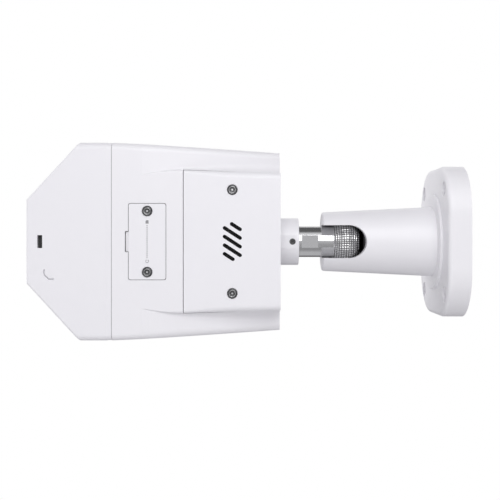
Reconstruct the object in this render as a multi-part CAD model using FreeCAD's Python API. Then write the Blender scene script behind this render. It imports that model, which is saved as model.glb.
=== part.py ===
import FreeCAD, Part
import math
import os
from FreeCAD import Vector

# A wide two-lens camera on a wall arm, in millimetres.
# +Z is up. The wall is the plane Y = 0 and the camera looks towards -Y.
# The origin is the middle of the base's wall face, and the arm, shaft and body share the Y axis.

# Base plate, on the wall
BASE_SIDE = 103.0
BASE_CORNER_R = 33.0
BASE_THICK = 15.4
BASE_EDGE_R = 3.0
BASE_FRONT_WALL = 4.0
RING_R = 33.7
RING_HEIGHT = 2.0
BOLT_SPACING = 71.0
BOLT_HOLE_R = 2.6
BOLT_HEAD_R = 5.2
BOLT_HEAD_DEPTH = 5.0
GASKET_INSET = 3.0
GASKET_WIDTH = 3.0
GASKET_THICK = 2.0

# Parts that hold the arm in the base
WASHER_THICK = 1.0
FLANGE_R = 30.0
FLANGE_THICK = 3.0
RETAINER_R = 38.0
RETAINER_THICK = 3.0
RETAINER_SCREW_COUNT = 4
RETAINER_SCREW_SIZE = 3.0
GROMMET_R = 13.0
CABLE_HOLE_R = 4.5

# Arm: a cone with a slot under its mouth
ARM_LENGTH = 77.5
ARM_ROOT_R = 24.5
ARM_MOUTH_R = 20.7
ARM_MOUTH_EDGE = 1.6
ARM_BACK_BORE_R = 17.5
ARM_BLOCK_BORE_R = 14.4
SLOT_WIDTH = 22.8
SLOT_END_AHEAD_OF_RING = 47.9
LOCK_SCREW_FROM_RING = 37.1
LOCK_SCREW_R = 3.0

# Ball and shaft
BALL_R = 14.0
BALL_SEAT_GAP = 0.3
BALL_INSET = 16.9
BALL_BACK_CUT = 8.8
SHAFT_R = 10.9
SHAFT_REACH = 33.5
SHAFT_BORE_R = 4.6
SHAFT_FLAT_WIDTH = 8.7
SHAFT_FLAT_LENGTH = 11.5
SHAFT_FLAT_FROM_COLLAR = 2.1
SPIGOT_R = 6.5
NUT_ACROSS_FLATS = 19.0
NUT_THICK = 6.0
NUT_WASHER_R = 10.8

# Collar on the back of the camera
COLLAR_R = 16.5
COLLAR_LENGTH = 13.5
COLLAR_FLOOR = 3.0
COLLAR_PAD_WIDTH = 8.7
COLLAR_PAD_LENGTH = 11.7
SET_SCREW_R = 2.2
SET_SCREW_SINK = 0.7
SET_SCREW_FROM_END = 4.6
COLLAR_SCREW_PITCH_R = 13.8
COLLAR_SCREW_COUNT = 3
COLLAR_SCREW_HEAD_R = 2.2

# Camera body
HOUSING_LENGTH = 113.5
SIDE_LENGTH = 21.8
NOSE_LENGTH = 35.7
BODY_WIDTH = 133.6
REAR_WIDTH = 123.2
NOSE_WIDTH = 56.0
BODY_BELOW = 36.0
BODY_ABOVE = 42.0
REAR_ABOVE = 38.0
LOWER_EDGE_R = 5.0
UPPER_EDGE_R = 10.0
NOSE_EDGE_R = 1.5
WALL = 3.0
REAR_WALL = 4.0
FRONT_WALL = 6.0
SEAM_GAP = 0.3
SEAM_BAND = 3.0
SEAM_BAND_INSET = 0.25
SEAL_WIDTH = 1.4
SEAL_DEPTH = 1.2

# The raised middle under the back of the housing, with a hollow beside it on each side
MIDDLE_FRONT_HALF = 44.4
MIDDLE_COVER_HALF = 48.3
MIDDLE_BACK_HALF = 46.7
HOLLOW_LENGTH = 96.0
HOLLOW_DEPTH = 21.0
HOLLOW_POWER = 1.3
HOLLOW_EDGE_R = 4.6
HOLLOW_CORNER_R = 6.5

# Rear cover, with the loudspeaker behind it
REAR_COVER_LENGTH = 65.2
REAR_COVER_DEPTH = 12.0
COVER_WALL = 2.5
COVER_GAP = 0.45
COVER_SCREW_X = 34.8
COVER_SCREW_Y_FROM_BACK = 32.5
SLIT_WIDTH = 2.5
SLIT_PITCH = 5.8
SLIT_SLOPE_DEG = 33.0
GRILLE_LENGTH_X = 26.2
GRILLE_LENGTH_Y = 12.9
SPEAKER_R = 18.0
SPEAKER_DEPTH = 7.0

# Memory card cover, under the front of the housing
CARD_COVER_LENGTH = 24.9
CARD_COVER_WIDTH = 51.0
CARD_COVER_FROM_BACK = 77.2
CARD_COVER_THICK = 2.4
CARD_COVER_GAP = 0.35
CARD_COVER_CORNER_R = 1.4
CARD_COVER_SCREW_X = 20.5
CARD_TAB_WIDTH = 13.4
CARD_TAB_LENGTH = 2.1
CARD_TAB_SINK = 1.2
CARD_LEDGE = 3.0
RESET_TRAVEL = 0.5
RESET_R = 1.6

# Pan-head screws that hold the covers
HEAD_R = 3.4
HEAD_HEIGHT = 1.8
HEAD_SINK = 0.9
HEAD_GAP = 0.25
SHANK_R = 1.5
SCREW_LENGTH = 8.0
SOCKET_ACROSS_FLATS = 2.6
POST_R = 4.2

# Windows in the nose's three facets
WINDOW_SIDE_FRAME = 5.4
WINDOW_END_FRAME = 10.0
WINDOW_CORNER_R = 6.0
WINDOW_SINK = 0.8
WINDOW_THICK = 2.5
WINDOW_LEDGE = 3.0
WINDOW_GAP = 0.2
WINDOW_GASKET_THICK = 0.8

# Lens modules behind the two slanted windows
LENS_HOOD_R = 13.0
LENS_BARREL_R = 11.0
LENS_BARREL_LENGTH = 20.0
LENS_GLASS_R = 8.5
LENS_GLASS_CURVE_R = 13.0
LENS_SET_BACK = 1.2
SENSOR_BOARD_SIDE = 32.0
BOARD_THICK = 1.6
MASK_THICK = 1.0

# Light unit behind the middle window
EMITTER_R = 4.2
EMITTER_ROWS = 3
EMITTER_COLUMNS = 2
EMITTER_PITCH_X = 22.0
EMITTER_PITCH_Z = 17.0
LIGHT_SENSOR_R = 2.0

# Microphone and the small bent groove under the nose
MIC_HOLE_X = 8.7
MIC_HOLE_Y = 3.4
MIC_FROM_NOSE = 9.2
MIC_MEMBRANE_RIM = 1.3
MIC_MEMBRANE_THICK = 0.4
GROOVE_WIDTH = 0.9
GROOVE_DEPTH = 1.6

# Electronics
BOARD_SIDE_GAP = 8.6
BOARD_END_GAP = 16.7
BOARD_BELOW_TOP = 20.0
BOARD_SCREW_R = 1.0
CHIP_HEIGHT = 1.6
FIN_COUNT = 8
FIN_PITCH = 4.0
FIN_THICK = 1.4

# Small clearance between neighbours, and a length beyond every piece for cutting right through
SLACK = 0.1
BEYOND = 400.0

# Places along Y, each tied to the one before it
RING_FACE_Y = -(BASE_THICK + RING_HEIGHT)
ARM_MOUTH_Y = RING_FACE_Y - ARM_LENGTH
BALL_Y = ARM_MOUTH_Y + BALL_INSET
COLLAR_Y = BALL_Y - SHAFT_REACH
BACK_Y = COLLAR_Y - COLLAR_LENGTH
SEAM_Y = BACK_Y - HOUSING_LENGTH
SHOULDER_Y = SEAM_Y - SIDE_LENGTH
NOSE_Y = SHOULDER_Y - NOSE_LENGTH
POCKET_FLOOR_Y = -(BASE_THICK - BASE_FRONT_WALL)
FLANGE_BACK_Y = POCKET_FLOOR_Y + WASHER_THICK + FLANGE_THICK
RETAINER_Y = FLANGE_BACK_Y + SLACK
COVER_FRONT_Y = BACK_Y - REAR_COVER_LENGTH
CARD_COVER_Y = BACK_Y - CARD_COVER_FROM_BACK
CARD_COVER_MIDDLE_Y = CARD_COVER_Y - CARD_COVER_LENGTH / 2
COVER_SCREW_Y = BACK_Y - COVER_SCREW_Y_FROM_BACK
HOLLOW_START_Y = BACK_Y - HOLLOW_LENGTH

BOTTOM_Z = -BODY_BELOW
POCKET_TOP_Z = BOTTOM_Z + REAR_COVER_DEPTH
BODY_MIDDLE_Z = (BODY_ABOVE - BODY_BELOW) / 2

MAIN_BOARD_X = REAR_WIDTH - 2 * (WALL + BOARD_SIDE_GAP)
MAIN_BOARD_Y = HOUSING_LENGTH - 2 * BOARD_END_GAP
MAIN_BOARD_Z = REAR_ABOVE - BOARD_BELOW_TOP

FACET_HALF_RUN_X = (BODY_WIDTH - NOSE_WIDTH) / 4
SLANTED_WINDOW_WIDTH = math.hypot(2 * FACET_HALF_RUN_X, NOSE_LENGTH) - 2 * WINDOW_SIDE_FRAME
MIDDLE_WINDOW_WIDTH = NOSE_WIDTH - 2 * WINDOW_SIDE_FRAME
WINDOW_HEIGHT = BODY_BELOW + BODY_ABOVE - 2 * WINDOW_END_FRAME
FACET_TURN_DEG = math.degrees(math.atan2(NOSE_LENGTH, 2 * FACET_HALF_RUN_X))
FACET_MIDDLE = (NOSE_WIDTH / 2 + FACET_HALF_RUN_X, (NOSE_Y + SHOULDER_Y) / 2)
SIDES = {"left": -1, "right": 1}


# Small helpers

def box(x0, x1, y0, y1, z0, z1):
    return Part.makeBox(x1 - x0, y1 - y0, z1 - z0, Vector(x0, y0, z0))


def rod(radius, y0, y1, x=0.0, z=0.0):
    """A cylinder along Y."""
    return Part.makeCylinder(radius, y1 - y0, Vector(x, y0, z), Vector(0, 1, 0))


def tube(outer, inner, y0, y1, x=0.0, z=0.0):
    return rod(outer, y0, y1, x, z).cut(rod(inner, y0, y1, x, z))


def post(radius, x, y, z0, z1):
    """A cylinder along Z."""
    return Part.makeCylinder(radius, z1 - z0, Vector(x, y, z0), Vector(0, 0, 1))


def prism(points, direction):
    """A closed outline, extruded."""
    corners = [Vector(*p) for p in points]
    face = Part.Face(Part.makePolygon(corners + corners[:1]))
    return face.extrude(Vector(*direction))


def plan_prism(points, z0, z1):
    return prism([(x, y, z0) for x, y in points], (0, 0, z1 - z0))


def mirrored(shape):
    return shape.mirror(Vector(0, 0, 0), Vector(1, 0, 0))


def fused(shapes):
    result = shapes[0]
    for shape in shapes[1:]:
        result = result.fuse(shape)
    return result


def joined(shapes):
    """Fuses shapes and merges the faces that they share."""
    return fused(shapes).removeSplitter()


def without(shape, cutters):
    for cutter in cutters:
        shape = shape.cut(cutter)
    return shape


def group(shapes):
    return Part.makeCompound(shapes)


def rounded(shape, radius, chosen):
    """Fillets the edges that the test picks."""
    return shape.makeFillet(radius, [e for e in shape.Edges if chosen(e)])


def runs_along(edge, axis):
    """Whether an edge is straight and within a few degrees of one axis."""
    if not isinstance(edge.Curve, Part.Line):
        return False
    ends = edge.Vertexes[-1].Point.sub(edge.Vertexes[0].Point)
    return abs(ends.dot(Vector(*axis))) > 0.99 * ends.Length


def plate_xz(width, height, corner_r, y0, y1, z=0.0):
    """A rounded plate that faces along Y."""
    plate = box(-width / 2, width / 2, y0, y1, z - height / 2, z + height / 2)
    return rounded(plate, corner_r, lambda e: runs_along(e, (0, 1, 0)))


def plate_xy(x0, x1, y0, y1, corner_r, z0, z1):
    """A rounded plate that faces along Z."""
    return rounded(box(x0, x1, y0, y1, z0, z1), corner_r, lambda e: runs_along(e, (0, 0, 1)))


def hexagon(across_flats, depth):
    """A hexagonal prism along +Z, from the origin."""
    r = across_flats / math.sqrt(3)
    turns = [math.radians(60 * k) for k in range(6)]
    return prism([(r * math.cos(a), r * math.sin(a), 0) for a in turns], (0, 0, depth))


def screw(length, head_r=HEAD_R, head_height=HEAD_HEIGHT, shank_r=SHANK_R):
    """A pan-head screw along +Z: the head's seat is at the origin, and the head is below it."""
    head = Part.makeCylinder(head_r, head_height, Vector(0, 0, -head_height))
    head = rounded(head, head_height * 0.45, lambda e: e.BoundBox.ZMax < -head_height + SLACK)
    socket_depth = head_height * 0.6
    socket = hexagon(head_r * SOCKET_ACROSS_FLATS / HEAD_R, socket_depth)
    socket.translate(Vector(0, 0, -head_height))
    return head.fuse(Part.makeCylinder(shank_r, length)).cut(socket)


def upward_screw(x, y, z_seat, length=SCREW_LENGTH):
    placed = screw(length)
    placed.translate(Vector(x, y, z_seat))
    return placed


def screw_along_y(x, y_seat, z, length, head_r, head_height, shank_r, towards):
    """A screw along Y: towards is -1 when its tip points at -Y, and 1 at +Y."""
    placed = screw(length, head_r, head_height, shank_r)
    placed.rotate(Vector(0, 0, 0), Vector(1, 0, 0), 90 if towards < 0 else -90)
    placed.translate(Vector(x, y_seat, z))
    return placed


def ring_of(count, pitch_r, start_deg=0.0):
    """Places (x, z) on a circle about the Y axis."""
    turns = [math.radians(start_deg + 360.0 * k / count) for k in range(count)]
    return [(pitch_r * math.cos(a), pitch_r * math.sin(a)) for a in turns]


def on_facet(shape, side):
    """Moves a piece from its own frame, which faces -Y at the origin, to a facet of the nose."""
    placed = shape.copy()
    if side == 0:
        placed.translate(Vector(0, NOSE_Y, BODY_MIDDLE_Z))
        return placed
    placed.rotate(Vector(0, 0, 0), Vector(0, 0, 1), side * FACET_TURN_DEG)
    placed.translate(Vector(side * FACET_MIDDLE[0], FACET_MIDDLE[1], BODY_MIDDLE_Z))
    return placed


# Base and arm

def rounded_square(side, corner_r, y0, y1):
    return plate_xz(side, side, corner_r, y0, y1)


def bolt_places():
    half = BOLT_SPACING / 2
    return [(x, z) for x in (-half, half) for z in (-half, half)]


def retainer_screw_places():
    pitch_r = (FLANGE_R + RETAINER_R) / 2
    return ring_of(RETAINER_SCREW_COUNT, pitch_r)


def base_gasket():
    outer = rounded_square(BASE_SIDE - 2 * GASKET_INSET, BASE_CORNER_R - GASKET_INSET, -GASKET_THICK, 0)
    inset = GASKET_INSET + GASKET_WIDTH
    inner = rounded_square(BASE_SIDE - 2 * inset, BASE_CORNER_R - inset, -GASKET_THICK, 0)
    return outer.cut(inner)


def base_plate():
    plate = rounded_square(BASE_SIDE, BASE_CORNER_R, -BASE_THICK, 0)
    plate = rounded(plate, BASE_EDGE_R, lambda e: e.BoundBox.YMax < -BASE_THICK + SLACK)
    plate = joined([plate, rod(RING_R, RING_FACE_Y, -BASE_THICK + SLACK)])
    plate = rounded(plate, RING_HEIGHT * 0.4, lambda e: e.BoundBox.YMax < RING_FACE_Y + SLACK)
    cutters = [
        rod(ARM_ROOT_R, RING_FACE_Y - 1, 0),
        rod(FLANGE_R + SLACK, POCKET_FLOOR_Y, 0),
        rod(RETAINER_R + SLACK, RETAINER_Y, 0),
        base_gasket(),
    ]
    for x, z in bolt_places():
        cutters.append(rod(BOLT_HOLE_R, -BASE_THICK - 1, 0, x, z))
        cutters.append(rod(BOLT_HEAD_R, -BASE_THICK - 1, -BASE_THICK + BOLT_HEAD_DEPTH, x, z))
    for x, z in retainer_screw_places():
        cutters.append(rod(RETAINER_SCREW_SIZE / 2, RETAINER_Y - RETAINER_SCREW_SIZE, RETAINER_Y, x, z))
    return without(plate, cutters)


def pan_friction_washer():
    return tube(FLANGE_R - SLACK, ARM_ROOT_R + SLACK, POCKET_FLOOR_Y, POCKET_FLOOR_Y + WASHER_THICK)


def arm_retainer():
    plate = tube(RETAINER_R, GROMMET_R, RETAINER_Y, RETAINER_Y + RETAINER_THICK)
    holes = [rod(RETAINER_SCREW_SIZE / 2, RETAINER_Y, 0, x, z) for x, z in retainer_screw_places()]
    return without(plate, holes)


def retainer_screws():
    shank_r = RETAINER_SCREW_SIZE / 2 - SLACK / 2
    head_height = -(RETAINER_Y + RETAINER_THICK) * 0.45
    length = RETAINER_THICK + RETAINER_SCREW_SIZE - SLACK
    return group([
        screw_along_y(x, RETAINER_Y + RETAINER_THICK, z, length, RETAINER_SCREW_SIZE * 0.85,
                      head_height, shank_r, -1)
        for x, z in retainer_screw_places()
    ])


def cable_grommet():
    lip = 1.5
    body = rod(GROMMET_R, RETAINER_Y, RETAINER_Y + RETAINER_THICK)
    back_lip = rod(GROMMET_R + lip, RETAINER_Y + RETAINER_THICK, RETAINER_Y + RETAINER_THICK + lip)
    nose = Part.makeCone(CABLE_HOLE_R + 2 * lip, GROMMET_R, 4 * lip,
                         Vector(0, RETAINER_Y - 4 * lip, 0), Vector(0, 1, 0))
    hole = rod(CABLE_HOLE_R, RETAINER_Y - 5 * lip, 0)
    return joined([body, back_lip, nose]).cut(hole)


def block_front_y():
    """The clamp block starts behind the shaft's path when the shaft points straight down."""
    return BALL_Y + SHAFT_R + 2 * BALL_SEAT_GAP


def block_back_y():
    return RING_FACE_Y - LOCK_SCREW_FROM_RING + 2 * LOCK_SCREW_R


def lock_screw_y():
    return RING_FACE_Y - LOCK_SCREW_FROM_RING


def arm_shell():
    cone = Part.makeCone(ARM_MOUTH_R, ARM_ROOT_R, ARM_LENGTH, Vector(0, ARM_MOUTH_Y, 0), Vector(0, 1, 0))
    cone = rounded(cone, ARM_MOUTH_EDGE, lambda e: e.BoundBox.YMax < ARM_MOUTH_Y + SLACK)
    neck = rod(ARM_ROOT_R - SLACK, RING_FACE_Y, FLANGE_BACK_Y)
    flange = rod(FLANGE_R - SLACK, POCKET_FLOOR_Y + WASHER_THICK, FLANGE_BACK_Y)
    seat = Part.makeSphere(BALL_R + BALL_SEAT_GAP, Vector(0, BALL_Y, 0))
    half = SLOT_WIDTH / 2
    mouth = rod(half, ARM_MOUTH_Y - 1, BALL_Y)
    slot_centre_y = RING_FACE_Y - SLOT_END_AHEAD_OF_RING - half
    slot = box(-half, half, ARM_MOUTH_Y - 1, slot_centre_y, -2 * ARM_ROOT_R, 0)
    slot_end = post(half, 0, slot_centre_y, -2 * ARM_ROOT_R, 0)
    block_bore = rod(ARM_BLOCK_BORE_R, BALL_Y, block_back_y())
    back_bore = rod(ARM_BACK_BORE_R, block_back_y(), 0)
    lock_hole = Part.makeCylinder(LOCK_SCREW_R, 2 * ARM_ROOT_R, Vector(0, lock_screw_y(), 0), Vector(1, 0, 0))
    return without(joined([cone, neck, flange]),
                   [seat, mouth, slot, slot_end, block_bore, back_bore, lock_hole])


def ball_clamp_block():
    block = rod(ARM_BLOCK_BORE_R - SLACK, block_front_y(), block_back_y())
    dish = Part.makeSphere(BALL_R + BALL_SEAT_GAP, Vector(0, BALL_Y, 0))
    cable_way = rod(SHAFT_BORE_R, block_front_y() - 1, block_back_y() + 1)
    dimple = Part.makeCone(0, LOCK_SCREW_R, LOCK_SCREW_R,
                           Vector(ARM_BLOCK_BORE_R - SLACK - LOCK_SCREW_R, lock_screw_y(), 0),
                           Vector(1, 0, 0))
    return without(block, [dish, cable_way, dimple])


def arm_lock_screw():
    tip = Part.makeCone(0, LOCK_SCREW_R - SLACK, LOCK_SCREW_R - SLACK,
                        Vector(ARM_BLOCK_BORE_R - LOCK_SCREW_R, lock_screw_y(), 0), Vector(1, 0, 0))
    start = ARM_BLOCK_BORE_R - SLACK
    length = ARM_MOUTH_R - start
    body = Part.makeCylinder(LOCK_SCREW_R - SLACK, length, Vector(start, lock_screw_y(), 0), Vector(1, 0, 0))
    socket = hexagon(LOCK_SCREW_R, LOCK_SCREW_R)
    socket.rotate(Vector(0, 0, 0), Vector(0, 1, 0), 90)
    socket.translate(Vector(ARM_MOUTH_R - LOCK_SCREW_R, lock_screw_y(), 0))
    return tip.fuse(body).removeSplitter().cut(socket)


# Ball, shaft and collar

def spigot_start_y():
    return BACK_Y + COLLAR_FLOOR


def nut_washer_y():
    """The washer bears on the inside of the housing's rear wall."""
    return BACK_Y - REAR_WALL - SLACK


def o_ring_y():
    return (COLLAR_Y + spigot_start_y()) / 2 - SET_SCREW_R / 2


def o_ring_section_r():
    return SHAFT_R * 0.09


def shaft_o_ring():
    ring_r = SHAFT_R - o_ring_section_r()
    return Part.makeTorus(ring_r, o_ring_section_r(), Vector(0, o_ring_y(), 0), Vector(0, 1, 0))


def ball_shaft():
    ball = Part.makeSphere(BALL_R, Vector(0, BALL_Y, 0))
    ball = ball.common(rod(BALL_R + 1, BALL_Y - BALL_R, BALL_Y + BALL_BACK_CUT))
    shaft = rod(SHAFT_R, spigot_start_y() + SLACK, BALL_Y)
    spigot = rod(SPIGOT_R, nut_washer_y() - WASHER_THICK - NUT_THICK - 1, spigot_start_y() + 1)
    solid = joined([ball, shaft, spigot])
    flat_y0 = COLLAR_Y + SHAFT_FLAT_FROM_COLLAR
    flat_y1 = flat_y0 + SHAFT_FLAT_LENGTH
    flat_z = math.sqrt(SHAFT_R ** 2 - (SHAFT_FLAT_WIDTH / 2) ** 2)
    cutters = [
        box(-SHAFT_R, SHAFT_R, flat_y0, flat_y1, flat_z, 2 * SHAFT_R),
        box(-SHAFT_R, SHAFT_R, flat_y0, flat_y1, -2 * SHAFT_R, -flat_z),
        rod(SHAFT_BORE_R, NOSE_Y, 0),
        Part.makeTorus(SHAFT_R - o_ring_section_r(), o_ring_section_r() + SLACK / 2,
                       Vector(0, o_ring_y(), 0), Vector(0, 1, 0)),
    ]
    return without(solid, cutters)


def shaft_washer():
    return tube(NUT_WASHER_R, SPIGOT_R, nut_washer_y() - WASHER_THICK, nut_washer_y())


def shaft_nut():
    nut = hexagon(NUT_ACROSS_FLATS, NUT_THICK)
    nut.rotate(Vector(0, 0, 0), Vector(1, 0, 0), 90)
    nut.translate(Vector(0, nut_washer_y() - WASHER_THICK, 0))
    return nut.cut(rod(SPIGOT_R, SEAM_Y, 0))


def collar_set_screw_y():
    return COLLAR_Y - SET_SCREW_FROM_END


def rear_collar():
    body = rod(COLLAR_R, BACK_Y, COLLAR_Y)
    body = rounded(body, 0.6, lambda e: e.BoundBox.YMin > COLLAR_Y - SLACK)
    pad_z = math.sqrt(COLLAR_R ** 2 - (COLLAR_PAD_WIDTH / 2) ** 2)
    half = COLLAR_PAD_WIDTH / 2
    cutters = [
        box(-half, half, BACK_Y, BACK_Y + COLLAR_PAD_LENGTH, -2 * COLLAR_R, -pad_z),
        rod(SHAFT_R + SLACK / 2, spigot_start_y(), 0),
        rod(SPIGOT_R + SLACK / 2, BACK_Y, 0),
        post(SET_SCREW_R, 0, collar_set_screw_y(), -2 * COLLAR_R, 0),
    ]
    for x, z in ring_of(COLLAR_SCREW_COUNT, COLLAR_SCREW_PITCH_R, 90):
        cutters.append(rod(SHANK_R, BACK_Y, BACK_Y + 2 * COLLAR_FLOOR, x, z))
    return without(body, cutters)


def collar_set_screw():
    half_width = COLLAR_PAD_WIDTH / 2
    pad_z = math.sqrt(COLLAR_R ** 2 - half_width ** 2)
    top_z = -pad_z + SET_SCREW_SINK
    body = post(SET_SCREW_R - SLACK / 2, 0, collar_set_screw_y(), top_z, -SHAFT_R - SLACK)
    socket = hexagon(SET_SCREW_R, SET_SCREW_R)
    socket.translate(Vector(0, collar_set_screw_y(), top_z))
    return body.cut(socket)


def collar_screws():
    return group([
        screw_along_y(x, BACK_Y - REAR_WALL, z, REAR_WALL + 2 * COLLAR_FLOOR - 1, COLLAR_SCREW_HEAD_R,
                      SHANK_R, SHANK_R - SLACK / 2, 1)
        for x, z in ring_of(COLLAR_SCREW_COUNT, COLLAR_SCREW_PITCH_R, 90)
    ])


# Housing and its covers

def body_block(inset, front_y, back_y):
    """The housing's outline, drawn in by an inset on its four long faces."""
    run = (BODY_WIDTH - REAR_WIDTH) / 2
    drop = BODY_ABOVE - REAR_ABOVE
    front_half = BODY_WIDTH / 2 - inset
    back_half = front_half - run
    plan = [(-front_half, SEAM_Y), (front_half, SEAM_Y), (back_half, BACK_Y), (-back_half, BACK_Y)]
    top = BODY_ABOVE - inset
    low = BOTTOM_Z + inset
    side = [(0, SEAM_Y, low), (0, SEAM_Y, top), (0, BACK_Y, top - drop), (0, BACK_Y, low)]
    tall = plan_prism(plan, 2 * BOTTOM_Z, 2 * BODY_ABOVE)
    wide = prism(side, (BODY_WIDTH, 0, 0))
    wide.translate(Vector(-BODY_WIDTH / 2, 0, 0))
    block = tall.common(wide).common(box(-BODY_WIDTH, BODY_WIDTH, front_y, back_y, -BODY_WIDTH, BODY_WIDTH))
    return block.removeSplitter()


def round_long_edges(block, inset):
    """Rounds the four long edges, less by the inset on an inner face."""
    block = rounded(block, UPPER_EDGE_R - inset, lambda e: runs_along(e, (0, 1, 0)) and e.BoundBox.ZMin > 0)
    return rounded(block, LOWER_EDGE_R - inset, lambda e: runs_along(e, (0, 1, 0)) and e.BoundBox.ZMax < 0)


def middle_half(y):
    """Half the width of the raised middle at a place along Y."""
    if y < COVER_FRONT_Y:
        run = (y - HOLLOW_START_Y) / (COVER_FRONT_Y - HOLLOW_START_Y)
        return MIDDLE_FRONT_HALF + (MIDDLE_COVER_HALF - MIDDLE_FRONT_HALF) * math.sin(run * math.pi / 2)
    run = (y - COVER_FRONT_Y) / REAR_COVER_LENGTH
    return MIDDLE_COVER_HALF + (MIDDLE_BACK_HALF - MIDDLE_COVER_HALF) * run


def body_half(y):
    run = (y - SEAM_Y) / HOUSING_LENGTH
    return (BODY_WIDTH + (REAR_WIDTH - BODY_WIDTH) * run) / 2


def hollow_section(y, grow):
    """The hollow's cross-section at y: the raised middle's rounded edge, a rounded corner, the flat
    roof of the hollow and the housing's rounded outer edge."""
    depth = HOLLOW_DEPTH * ((y - HOLLOW_START_Y) / HOLLOW_LENGTH) ** HOLLOW_POWER
    edge = min(HOLLOW_EDGE_R, 0.45 * depth)
    corner = min(HOLLOW_CORNER_R, 0.45 * depth)
    inner = middle_half(y) - grow
    outer = body_half(y)
    roof = BOTTOM_Z + depth + grow
    low = BOTTOM_Z - 1
    lip = outer - LOWER_EDGE_R
    turn = math.sqrt(0.5)
    path = [
        [(inner - edge, low), (inner - edge, BOTTOM_Z)],
        [(inner - edge, BOTTOM_Z), (inner - edge + edge * turn, BOTTOM_Z + edge - edge * turn),
         (inner, BOTTOM_Z + edge)],
        [(inner, BOTTOM_Z + edge), (inner, roof - corner)],
        [(inner, roof - corner), (inner + corner - corner * turn, roof - corner + corner * turn),
         (inner + corner, roof)],
        [(inner + corner, roof), (lip, roof)],
        [(lip, roof), (lip + LOWER_EDGE_R * turn, roof + LOWER_EDGE_R - LOWER_EDGE_R * turn),
         (outer, roof + LOWER_EDGE_R)],
        [(outer, roof + LOWER_EDGE_R), (BODY_WIDTH, roof + LOWER_EDGE_R)],
        [(BODY_WIDTH, roof + LOWER_EDGE_R), (BODY_WIDTH, low)],
        [(BODY_WIDTH, low), (inner - edge, low)],
    ]
    edges = []
    for points in path:
        corners = [Vector(x, y, z) for x, z in points]
        if len(corners) == 2:
            edges.append(Part.makeLine(*corners))
        else:
            edges.append(Part.Arc(*corners).toShape())
    return Part.Wire(edges)


def hollow(grow=0.0):
    """The space beside the raised middle on the +X side, grown for the inside of the wall."""
    first = 0.03
    steps = 11
    shares = [first + (1.03 - first) * (k / steps) ** 1.25 for k in range(steps + 1)]
    sections = [hollow_section(HOLLOW_START_Y + share * HOLLOW_LENGTH, grow) for share in shares]
    return Part.makeLoft(sections, True, True)


def middle_prism(narrow, front_y, back_y, z0, z1):
    """The plan of the raised middle over the rear cover, narrowed on each side."""
    front = middle_half(COVER_FRONT_Y) - narrow
    back = middle_half(back_y) - narrow
    return plan_prism([(-front, front_y), (front, front_y), (back, back_y), (-back, back_y)], z0, z1)


def outer_housing():
    block = round_long_edges(body_block(0, SEAM_Y, BACK_Y), 0)
    return without(block, [hollow(), mirrored(hollow())])


def housing_cavity():
    cavity = body_block(WALL, SEAM_Y, BACK_Y - REAR_WALL)
    cavity = round_long_edges(cavity, WALL)
    pocket = middle_prism(-WALL, COVER_FRONT_Y - COVER_GAP - WALL, BACK_Y, BOTTOM_Z, POCKET_TOP_Z + WALL)
    return without(cavity, [hollow(WALL), mirrored(hollow(WALL)), pocket])


def corner_screw_places():
    """The four corner posts, each sunk a little into the walls beside it."""
    reach = WALL + 0.8 * POST_R
    x = BODY_WIDTH / 2 - reach
    heights = (BOTTOM_Z + reach, BODY_ABOVE - UPPER_EDGE_R / 2 - reach)
    return [(sx * x, z) for sx in (-1, 1) for z in heights]


def card_cover_shape(grow, z0, z1):
    """The memory card cover's plan: a rounded plate with a tab towards the nose."""
    half = CARD_COVER_WIDTH / 2 + grow
    tab_half = CARD_TAB_WIDTH / 2 + grow
    front = CARD_COVER_Y - CARD_COVER_LENGTH
    plate = plate_xy(-half, half, front - grow, CARD_COVER_Y + grow, CARD_COVER_CORNER_R, z0, z1)
    tab = plate_xy(-tab_half, tab_half, front - CARD_TAB_LENGTH - grow, CARD_COVER_MIDDLE_Y,
                   CARD_COVER_CORNER_R / 2, z0, z1)
    return joined([plate, tab])


def card_opening(z0, z1, inset=0.0):
    half = CARD_COVER_SCREW_X - HEAD_R - inset
    return plate_xy(-half, half, CARD_COVER_Y - CARD_COVER_LENGTH + CARD_LEDGE + inset,
                    CARD_COVER_Y - CARD_LEDGE - inset, CARD_COVER_CORNER_R, z0, z1)


def card_ledge_z():
    return BOTTOM_Z + CARD_COVER_THICK + WINDOW_GASKET_THICK


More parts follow.
